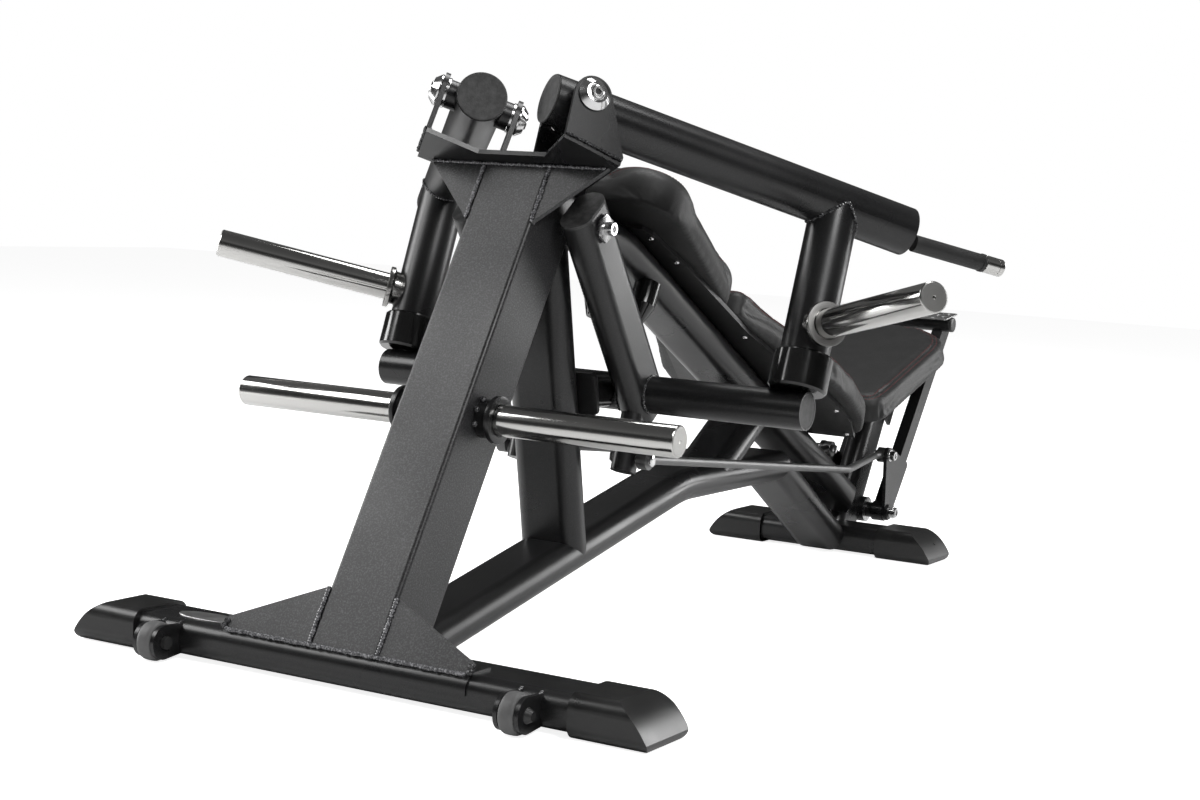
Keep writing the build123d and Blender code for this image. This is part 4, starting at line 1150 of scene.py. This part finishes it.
# ---------------------------------------------------------------- arms
@dataclass
class PressArms:
    """The two swinging arms with their plugs, horns, stop blocks and grips."""

    collar: float = 61.0
    reach: float = 378.0
    grip_r: float = 15.0
    grip_length: float = 166.0
    grip_cap: float = 38.0

    def plug(self) -> bmesh.types.BMesh:
        """Rubber plug in the arm's rear end, with a flat flange over the tube's rim."""
        profile = [(12.0, 0.0), (12.0, 37.8), (-0.3, 37.8), (-0.3, 40.2), (-1.0, 41.0), (-2.4, 41.0),
                   (-3.3, 40.2), (-3.6, 38.8), (-3.4, 37.6), (-3.4, 20.0), (-3.5, 0.0)]
        return turned(profile, ARM_REAR, ARM_DIR, 72)

    def grip_root_ring(self) -> list:
        """The line round the grip where it leaves the arm's front end."""
        first = GRIP_DIR.orthogonal().normalized()
        second = GRIP_DIR.cross(first)
        ring = []
        for step in range(24):
            angle = math.tau * step / 24
            side = GRIP_ROOT + (first * math.cos(angle) + second * math.sin(angle)) * self.grip_r
            ring.append(side + GRIP_DIR * ((ARM_FRONT - side).dot(ARM_DIR) / GRIP_DIR.dot(ARM_DIR)))
        return ring

    def sleeve(self) -> bmesh.types.BMesh:
        """Rubber grip sleeve with a raised ring at each end."""
        far, r = self.grip_length, self.grip_r
        profile = [(20.0, 0.0), (20.0, r), (far - 7, r), (far - 6, r + 1.2), (far - 1, r + 1.2),
                   (far, r + 0.4), (far, 0.0)]
        return turned(profile, GRIP_ROOT, GRIP_DIR, 40)

    def end_cap(self) -> bmesh.types.BMesh:
        """Bright cap on the grip's free end, with a groove and a rounded end."""
        start, end, r = self.grip_length, self.grip_length + self.grip_cap, self.grip_r + 0.5
        profile = [(start, 0.0), (start, r - 1.5), (start + 1.5, r), (end - 12, r), (end - 11.4, r - 0.9),
                   (end - 10.2, r - 0.9), (end - 9.6, r), (end - 1.8, r), (end - 0.5, r - 0.6),
                   (end, r - 2.0), (end, 0.0)]
        return turned(profile, GRIP_ROOT, GRIP_DIR, 48, end - 0.4)

    def build(self, finish: Finishes) -> None:
        """Make and dress both arms."""
        horn = Horn(HORN_ROOT, HORN_DIR, self.collar, self.reach)
        for side in Side:
            word, body = side.word, f"press_arm_{side.word}"
            seam = ring_on_tube(DOWN_TOP, DOWN_DIR, ARM_R, ARM_REAR, ARM_DIR, ARM_R)
            made = [
                ("arm_plug", self.plug(), finish.plug, "plug_rubber", ("arm_plug",)),
                ("horn_bar", horn.bar(), finish.steel, "horn_steel", ("weight_horn",)),
                ("horn_sleeve", horn.sleeve(30.0, 9.0, 31.0), finish.collar, "horn_steel",
                 ("weight_horn_collar",)),
                ("grip_sleeve", self.sleeve(), finish.grip, "grip_rubber", ("grip",)),
                ("grip_end", self.end_cap(), finish.steel, "bright_bolt", ("grip_cap",)),
                ("arm_weld", beads(seam, 3.8, 21, closed=True), finish.dark_bead, "powder_coat", ()),
                ("grip_weld", beads(self.grip_root_ring(), 2.4, 22, closed=True), finish.dark_bead,
                 "powder_coat", ()),
            ]
            for name, bm, material, slot, nodes in made:
                mesh = bm if side is Side.RIGHT else mirrored(bm)
                stood = [f"{node}_{word}" for node in nodes]
                fit(mesh, f"{name}_piece_{word}", material, body, slot, *stood)
            dress(finish.coat, f"arm_tube_{word}", f"down_tube_{word}")
            dress(finish.gloss, f"stop_block_{word}")


# ---------------------------------------------------------------- lift frame
@dataclass
class LiftFrame:
    """Swinging frame under the arms: hangers, cross beam, bumpers, pivot shaft and its nuts."""

    hanger_x: float = 105.0
    shaft_reach: float = 134.5
    stub_half: float = 20.0

    def pivot_hardware(self) -> tuple:
        """The shaft with its washers, hexagons and open-ended nuts.

        Returns:
            The bright nuts with the shaft, and the darker hexagonal washers.
        """
        start = self.shaft_reach
        shaft = turned([(-start, 0.0), (-start, 12.0), (start, 12.0), (start, 0.0)], LIFT, X_AXIS, 32)
        nut = turned([(start + 4.0, 0.0), (start + 4.0, 11.0), (start + 17.8, 11.0), (start + 19.0, 10.2),
                      (start + 19.0, 6.4), (start + 17.6, 5.6), (start + 12.0, 5.6), (start + 12.0, 0.0)],
                     LIFT, X_AXIS, 40)
        plate = hexagon(42.0, 5.0, LIFT + X_AXIS * start, X_AXIS)
        ring = turned([(start - 2.0, 0.0), (start - 2.0, 19.4), (start - 0.4, 19.8), (start, 19.2),
                       (start, 0.0)],
                      LIFT, X_AXIS, 48)
        return joined(shaft, both_sides(nut)), both_sides(joined(plate, ring))

    def foot_bolts(self) -> bmesh.types.BMesh:
        """Bolts through the hanger feet, each with a hexagonal head and a threaded end."""
        inner = LINK + X_AXIS * (self.hanger_x - self.stub_half)
        head = hexagon(19.0, 8.6, inner, -X_AXIS)
        shank = turned([(-9.0, 0.0), (-9.0, 5.8), (39.0, 5.8), (39.0, 0.0)], inner, X_AXIS, 24)
        return both_sides(joined(head, shank))

    def build(self, finish: Finishes) -> None:
        """Dress the swinging frame and make its fittings and welds."""
        dress(finish.coat, "hangers", "hanger_feet", "lift_beam")
        dress(finish.plug, "lift_frame_caps")
        dress(finish.gloss, "rest_bumpers", "top_bumpers")
        bright, dull = self.pivot_hardware()
        fit(bright, "lift_pivot_nuts", finish.chrome, "frame", "bright_bolt", "lift_shaft")
        fit(dull, "lift_pivot_washers", finish.plated, "frame", "bright_bolt")
        fit(self.foot_bolts(), "hanger_foot_bolts", finish.plated, "lift_frame", "bright_bolt",
            "hanger_foot_nuts")
        seams = []
        for offset in (-27.5, 27.5):
            ring = []
            for step in range(28):
                angle = math.tau * step / 28
                ring.append(BEAM + Vector((self.hanger_x + offset, math.cos(angle) * BEAM_R,
                                           math.sin(angle) * BEAM_R)))
            seams.append(beads(ring, 3.0, 51 + int(offset), closed=True))
        fit(both_sides(joined(*seams)), "beam_welds", finish.dark_bead, "lift_frame", "powder_coat")
        ends = turned([(BEAM_REACH - 3.0, 0.0), (BEAM_REACH - 3.0, 30.4), (BEAM_REACH - 0.8, 30.0),
                       (BEAM_REACH - 0.2, 28.6), (BEAM_REACH - 0.6, 26.4), (BEAM_REACH - 0.9, 0.0)], BEAM,
                      X_AXIS, 56)
        fit(both_sides(ends), "beam_end_discs", finish.plug, "lift_frame", "plug_rubber")


# ---------------------------------------------------------------- spine, posts and bracket plates
@dataclass
class FrameTubes:
    """Spine, posts, beams and plates of the standing frame, with the welds between them."""

    def build(self, finish: Finishes) -> None:
        """Coat the tubes and lay the seams that show."""
        dress(finish.coat, "spine", "front_leg", "rear_post", "back_beam", "back_beam_strut", "seat_post",
              "seat_bracket", "rest_stop_plate", "lever_housing")
        seams = []
        spine_top = spot(0, 608.0, 173.0)
        for sign in (-1, 1):
            rear = spine_top + Vector((sign * 32.0, -42.0, -9.0))
            front = spine_top + Vector((sign * 32.0, 12.0, 3.0))
            seams.append(beads([rear, front], 3.0, 61 + sign))
        fit(joined(*seams), "post_welds", finish.dark_bead, "frame", "powder_coat")


# ---------------------------------------------------------------- foot lever and link rods
@dataclass
class FootLever:
    """The start lever at the front: bars, pedal, ribbed tread, pivot nuts and link rods."""

    rib_rows: int = 4
    rib_columns: int = 9
    rib_pitch: tuple = (20.0, 19.0)
    tread_half: tuple = (95.0, 42.0)
    sleeve_out: float = 88.0
    rocker_t: float = 8.0
    rocker_face: float = 84.4

    def tread(self) -> bmesh.types.BMesh:
        """The ribbed tread plate on the pedal bar."""
        plane = Datum(PEDAL + TREAD_UP * PEDAL_R, X_AXIS, TREAD_UP)
        half_x, half_y = self.tread_half
        bm = bmesh.new()
        bmesh.ops.create_cube(bm, size=2.0, matrix=Matrix.Diagonal((half_x, half_y, 1.4, 1.0)))
        upright = [edge for edge in bm.edges if abs(edge.verts[0].co.z - edge.verts[1].co.z) > 1.0]
        bmesh.ops.bevel(bm, geom=upright, offset=8.0, affect="EDGES", segments=5, profile=0.5, material=-1)
        rim = [edge for edge in bm.edges if edge.calc_face_angle(0.0) > 1.0]
        bmesh.ops.bevel(bm, geom=rim, offset=0.5, affect="EDGES", segments=2, profile=0.5, material=-1)
        bmesh.ops.translate(bm, vec=(0, 0, 1.4), verts=bm.verts)
        for row in range(self.rib_rows):
            for column in range(self.rib_columns):
                lean = 1 if (row + column) % 2 else -1
                across = (column - (self.rib_columns - 1) / 2) * self.rib_pitch[0]
                down = (row - (self.rib_rows - 1) / 2) * self.rib_pitch[1]
                place = Vector((across, down, 2.9))
                turn = Matrix.Rotation(math.radians(45.0) * lean, 4, "Z")
                form = Matrix.Diagonal((7.6, 1.9, 1.1, 1.0))
                bmesh.ops.create_uvsphere(bm, u_segments=12, v_segments=6, radius=1.0,
                                          matrix=Matrix.Translation(place) @ turn @ form)
        bmesh.ops.transform(bm, matrix=plane.matrix, verts=bm.verts)
        return bm

    def pedal(self) -> tuple:
        """The round pedal bar and the plastic caps on its ends.

        Returns:
            The bar and the caps.
        """
        reach, r = PEDAL_REACH, PEDAL_R
        bar = turned([(-reach + 4, 0.0), (-reach + 4, r - 0.4), (reach - 4, r - 0.4), (reach - 4, 0.0)],
                     PEDAL, X_AXIS, 44)
        cap = turned([(reach - 8, 0.0), (reach - 8, r - 0.3), (reach - 7.2, r), (reach - 3, r),
                      (reach - 1.2, r - 0.9), (reach - 0.3, r - 3.0), (reach, r - 7.0), (reach, 0.0)], PEDAL,
                     X_AXIS, 44)
        return bar, both_sides(cap)

    def nut(self, centre: Vector, start: float, length: float, radius: float) -> bmesh.types.BMesh:
        """Open-ended bright nut on a shaft end.

        Args:
            centre: a point on the axis, in the middle plane.
            start: distance of its inner face from the middle plane.
            length: how far it stands out.
            radius: its outside radius.

        Returns:
            The mesh for the right-hand side.
        """
        end = start + length
        profile = [(start, 0.0), (start, radius + 3.0), (start + 1.0, radius + 3.2),
                   (start + 2.2, radius + 3.0), (start + 2.4, radius), (end - 1.2, radius),
                   (end, radius - 1.0), (end, radius * 0.55), (end - 1.0, radius * 0.48),
                   (end - 5.0, radius * 0.48), (end - 5.0, 0.0)]
        return turned(profile, centre, X_AXIS, 44)

    def build(self, finish: Finishes) -> None:
        """Make and dress the lever, its shaft, the rods and their bolts."""
        dress(finish.coat, "foot_levers", "lever_rockers")
        dress(finish.rod, "link_rods")
        fit(self.tread(), "tread_ribbed_plate", finish.tread, "foot_lever", "tread_steel", "tread_plate")
        bar, caps = self.pedal()
        fit(bar, "pedal_round_bar", finish.coat, "foot_lever", "powder_coat", "pedal_bar")
        fit(caps, "pedal_end_caps", finish.hub, "foot_lever", "plug_rubber")
        face = self.sleeve_out + self.rocker_t
        shaft = turned([(-face, 0.0), (-face, 12.0), (face, 12.0), (face, 0.0)], LEVER, X_AXIS, 36)
        nuts = both_sides(self.nut(LEVER, face, 9.0, 11.5))
        fit(joined(shaft, nuts), "lever_shaft_nuts", finish.chrome, "frame", "bright_bolt", "lever_shaft")
        ring = turned([(33.0, 0.0), (33.0, 27.0), (33.1, 27.4), (33.3, 27.4), (33.35, 0.0)], LEVER, X_AXIS,
                      56)
        fit(both_sides(ring), "housing_rings", finish.plated, "frame", "bright_bolt")
        head = self.nut(ROD_HEAD, self.rocker_face, 13.6, 10.5)
        inner = hexagon(17.0, 8.6, ROD_HEAD + X_AXIS * 57.0, -X_AXIS)
        pin = turned([(50.0, 0.0), (50.0, 5.9), (86.0, 5.9), (86.0, 0.0)], ROD_HEAD, X_AXIS, 28)
        tail_pin = turned([(126.5, 0.0), (126.5, 5.9), (153.5, 5.9), (153.5, 0.0)], LINK, X_AXIS, 28)
        tail = hexagon(19.0, 7.8, LINK + X_AXIS * 151.0, X_AXIS)
        bolts = both_sides(joined(head, inner, pin, tail_pin, tail))
        fit(bolts, "rod_end_bolts", finish.chrome, "link_rods", "bright_bolt", "link_rod_bolts")


# ---------------------------------------------------------------- pads
@dataclass
class Pad:
    """One sewn pad: an outline with rounded corners, blown up over its board, seamed and stitched."""

    name: str
    node: str
    plane: Datum
    outline: Sequence[tuple]
    floor: float
    thick: float
    shoulder: float
    swell: float
    seam_in: float
    rows: tuple
    fill: float
    radii: Sequence[float]
    voxel: float = 5.0
    shrink: float = 2.0
    pitch: float = 7.0
    smoothings: int = 5
    held_height: float = 4.0
    cloth_quality: int = 5
    cloth_mass: float = 0.3
    pressure: float = 4.0
    frames: int = 20

    def flat(self, inset: float) -> bmesh.types.BMesh:
        """The outline as one flat face, its corners rounded, drawn in by an inset."""
        bm = bmesh.new()
        bm.faces.new([bm.verts.new(point) for point in rounded(self.outline, self.radii)])
        bmesh.ops.recalc_face_normals(bm, faces=bm.faces)
        if all(face.normal.z < 0 for face in bm.faces):
            bmesh.ops.reverse_faces(bm, faces=bm.faces)
        if inset > 0:
            made = bmesh.ops.inset_region(bm, faces=bm.faces[:], thickness=inset, use_even_offset=True,
                                          use_boundary=True)
            bmesh.ops.delete(bm, geom=made["faces"], context="FACES")
        return bm

    def loop(self, inset: float, height: float) -> list:
        """The outline's points in order, drawn in by an inset, at a height over the plane."""
        bm = self.flat(inset)
        bm.faces.ensure_lookup_table()
        face = max(bm.faces, key=lambda f: f.calc_area())
        points = [self.plane.point(loop.vert.co.x, loop.vert.co.y, height) for loop in face.loops]
        bm.free()
        return points

    def body(self) -> bpy.types.Object:
        """The pad before it is blown up, a little smaller than its space."""
        bm = self.flat(self.shrink)
        made = bmesh.ops.extrude_face_region(bm, geom=bm.faces[:])
        lifted = [item for item in made["geom"] if isinstance(item, bmesh.types.BMVert)]
        height = self.thick - self.swell * 0.7
        bmesh.ops.translate(bm, vec=(0, 0, height), verts=lifted)
        bmesh.ops.recalc_face_normals(bm, faces=bm.faces)
        top = [edge for edge in bm.edges if all(vert.co.z > height - 0.1 for vert in edge.verts)]
        bmesh.ops.bevel(bm, geom=top, offset=self.shoulder, affect="EDGES", segments=6, profile=0.5,
                        material=-1)
        low = [edge for edge in bm.edges
               if all(vert.co.z < 0.1 for vert in edge.verts) and edge.calc_face_angle(0) > 1]
        bmesh.ops.bevel(bm, geom=low, offset=4.0, affect="EDGES", segments=3, profile=0.5, material=-1)
        bmesh.ops.translate(bm, vec=(0, 0, self.floor), verts=bm.verts)
        bmesh.ops.transform(bm, matrix=self.plane.matrix, verts=bm.verts)
        return settle(bm, self.name)

    def apply(self, piece: bpy.types.Object) -> None:
        """Make the piece's modifiers part of its mesh."""
        graph = bpy.context.evaluated_depsgraph_get()
        mesh = bpy.data.meshes.new_from_object(piece.evaluated_get(graph))
        piece.modifiers.clear()
        piece.data = mesh

    def smooth(self, bm: bmesh.types.BMesh) -> None:
        """Even out the mesh once, half way towards each neighbourhood's middle."""
        bmesh.ops.smooth_vert(bm, verts=bm.verts, factor=0.5, use_axis_x=True, use_axis_y=True,
                              use_axis_z=True)

    def inflate(self, piece: bpy.types.Object) -> None:
        """Blow the pad up with cloth under pressure, held where it rests on its board."""
        remesh = piece.modifiers.new("remesh", "REMESH")
        remesh.mode = "VOXEL"
        remesh.voxel_size = self.voxel * MM
        self.apply(piece)
        bm = bmesh.new()
        bm.from_mesh(piece.data)
        for _ in range(self.smoothings):
            self.smooth(bm)
        bm.to_mesh(piece.data)
        bm.free()
        normal = self.plane.normal
        base = TO_PART @ self.plane.origin
        start = [vert.co.copy() for vert in piece.data.vertices]
        heights = [(co - base).dot(normal) / MM - self.floor for co in start]
        held = piece.vertex_groups.new(name="held")
        held.add([i for i, h in enumerate(heights) if h < self.held_height], 1.0, "REPLACE")
        cloth = piece.modifiers.new("cloth", "CLOTH")
        cloth.settings.quality = self.cloth_quality
        cloth.settings.mass = self.cloth_mass
        cloth.settings.use_pressure = True
        cloth.settings.uniform_pressure_force = self.pressure
        cloth.settings.vertex_group_mass = "held"
        cloth.settings.effector_weights.gravity = 0.0
        cloth.point_cache.frame_start, cloth.point_cache.frame_end = 1, self.frames
        scene = bpy.context.scene
        for frame in range(1, self.frames + 1):
            scene.frame_set(frame)
        self.apply(piece)
        scene.frame_set(1)
        for vert, before in zip(piece.data.vertices, start):
            move = vert.co - before
            if move.length > self.swell * MM:
                vert.co = before + move.normalized() * self.swell * MM

    def refine(self, piece: bpy.types.Object) -> None:
        """One subdivision, then the seam's groove."""
        finer = piece.modifiers.new("finer", "SUBSURF")
        finer.levels = finer.render_levels = 1
        self.apply(piece)
        bm = bmesh.new()
        bm.from_mesh(piece.data)
        self.smooth(bm)
        for line, depth, width in self.grooves(bm):
            tree = self.line_tree(line)
            for vert in bm.verts:
                near = tree.find_nearest(vert.co)
                gap = near[3] / MM if near[3] is not None else 99.0
                if gap < width * 3:
                    vert.co -= vert.normal * depth * MM * math.exp(-(gap / width) ** 2)
        for face in bm.faces:
            face.smooth = True
        bm.to_mesh(piece.data)
        bm.free()

    def line_tree(self, line: Sequence[Vector]) -> BVHTree:
        """A search tree of a thin strip along a line of points in metres."""
        verts, faces = [], []
        for a, b in zip(line, line[1:] + line[:1]):
            start = len(verts)
            verts += [a, b, (a + b) / 2 + Vector((0.0, 0.0, 1e-5))]
            faces.append((start, start + 1, start + 2))
        return BVHTree.FromPolygons(verts, faces)

    def on_skin(self, bm: bmesh.types.BMesh, inset: float) -> list:
        """The outline drawn in by an inset and laid on the blown-up skin, in metres."""
        tree = BVHTree.FromBMesh(bm)
        down = -self.plane.normal
        found = []
        for place, _ in walk(self.loop(inset, self.floor + self.thick + 60.0), 4.0, closed=True):
            hit = tree.ray_cast(TO_PART @ place, down)
            if hit[0] is not None:
                found.append(hit[0])
        return found

    def grooves(self, bm: bmesh.types.BMesh) -> list:
        """Lines to press into the skin, each with a depth and a width in millimetres."""
        return [(self.on_skin(bm, self.seam_in), 2.4, 3.0)] if self.rows else []

    def stitches(self, piece: bpy.types.Object, finish: Finishes) -> bpy.types.Object:
        """Rows of short thread stitches beside the seam."""
        skin = bmesh.new()
        skin.from_mesh(piece.data)
        forms = []
        for row in self.rows:
            line = [point / MM for point in self.on_skin(skin, self.seam_in + row)]
            for place, heading in walk(line, self.pitch, closed=True):
                forms.append(axis_matrix(place,
                                         heading) @ Matrix.Diagonal((0.75, 0.75, self.pitch * 0.36, 1.0)))
        skin.free()
        thread = drops(forms, 6, 5)
        bmesh.ops.translate(thread, vec=(0, ORIGIN_STATION, 0), verts=thread.verts)
        return settle(thread, f"{self.name}_stitches", finish.thread)

    def build(self, finish: Finishes) -> None:
        """Make the pad and its stitches."""
        piece = self.body()
        self.inflate(piece)
        self.refine(piece)
        piece.data.materials.clear()
        piece.data.materials.append(finish.hide)
        seat_on(piece, "frame", "leatherette", self.node)
        if self.rows:
            seat_on(self.stitches(piece, finish), "frame", "leatherette")


@dataclass
class Upholstery:
    """Two back pads on their board, and the seat."""

    screw_spots: tuple = ((68, -70), (79, 21), (88, 337), (158, 677), (136, 806))
    lower_radii: tuple = (32.0, 60.0, 90.0, 60.0, 60.0, 70.0, 50.0, 34.0)

    def pads(self) -> Iterable[Pad]:
        """The three pads, with their outlines across and down their boards."""
        upper = [(-165, -200), (165, -200), (98, 248), (-98, 248)]
        half = [(106, 252), (126, 345), (160, 450), (200, 560), (207, 640), (197, 740), (166, 820),
                (118, 846)]
        lower = half + [(-x, y) for x, y in reversed(half)]
        seat = [(-150, 0), (150, 0), (152, 514), (-152, 514)]
        yield Pad("upper_back_cushion", "upper_back_pad", BOARD, upper, 38.3, 96.0, 40.0, 16.0, 26.0, (-4.0,),
                  0.8,
                  (95.0, 95.0, 56.0, 56.0))
        yield Pad("lower_back_cushion", "lower_back_pad", BOARD, lower, 38.3, 64.0, 20.0, 8.0, 20.0,
                  (-4.0, 4.0), 0.8,
                  self.lower_radii + self.lower_radii[::-1])
        yield Pad("seat_pad", "seat_cushion", SEAT, seat, -56.0, 56.0, 18.0, 6.0, 24.0, (-4.5, 4.5), 0.7,
                  (45.0, 45.0, 151.0, 151.0))

    def build(self, finish: Finishes) -> None:
        """Make the pads, dress the board and set its screws."""
        for pad in self.pads():
            pad.build(finish)
        dress(finish.board, "back_board")
        screws = []
        for x, down in self.screw_spots:
            place = BOARD.point(x, down, 30.0)
            head = [(-0.2, 0.0), (-0.2, 5.6), (0.8, 5.5), (2.2, 4.4), (2.9, 2.6), (2.4, 2.2), (2.4, 0.0)]
            screws.append(turned(head, place, -BOARD.normal, 28))
        fit(both_sides(joined(*screws)), "board_screw_heads", finish.chrome, "frame", "bright_bolt",
            "board_screws")


def main() -> None:
    """Dress the machine and light it."""
    logging.basicConfig(level=logging.INFO, format="%(name)s: %(message)s")
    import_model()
    Camera().build()
    finish = Finishes()
    for assembly in (Feet(), Wheels(), Mast(), StorageHorns(), PivotBolts(), PressArms(), LiftFrame(),
                     FrameTubes(),
                     FootLever(), Upholstery()):
        assembly.build(finish)
        log.info("%s dressed", type(assembly).__name__)
    Studio().build()


if __name__ == "__main__":
    main()
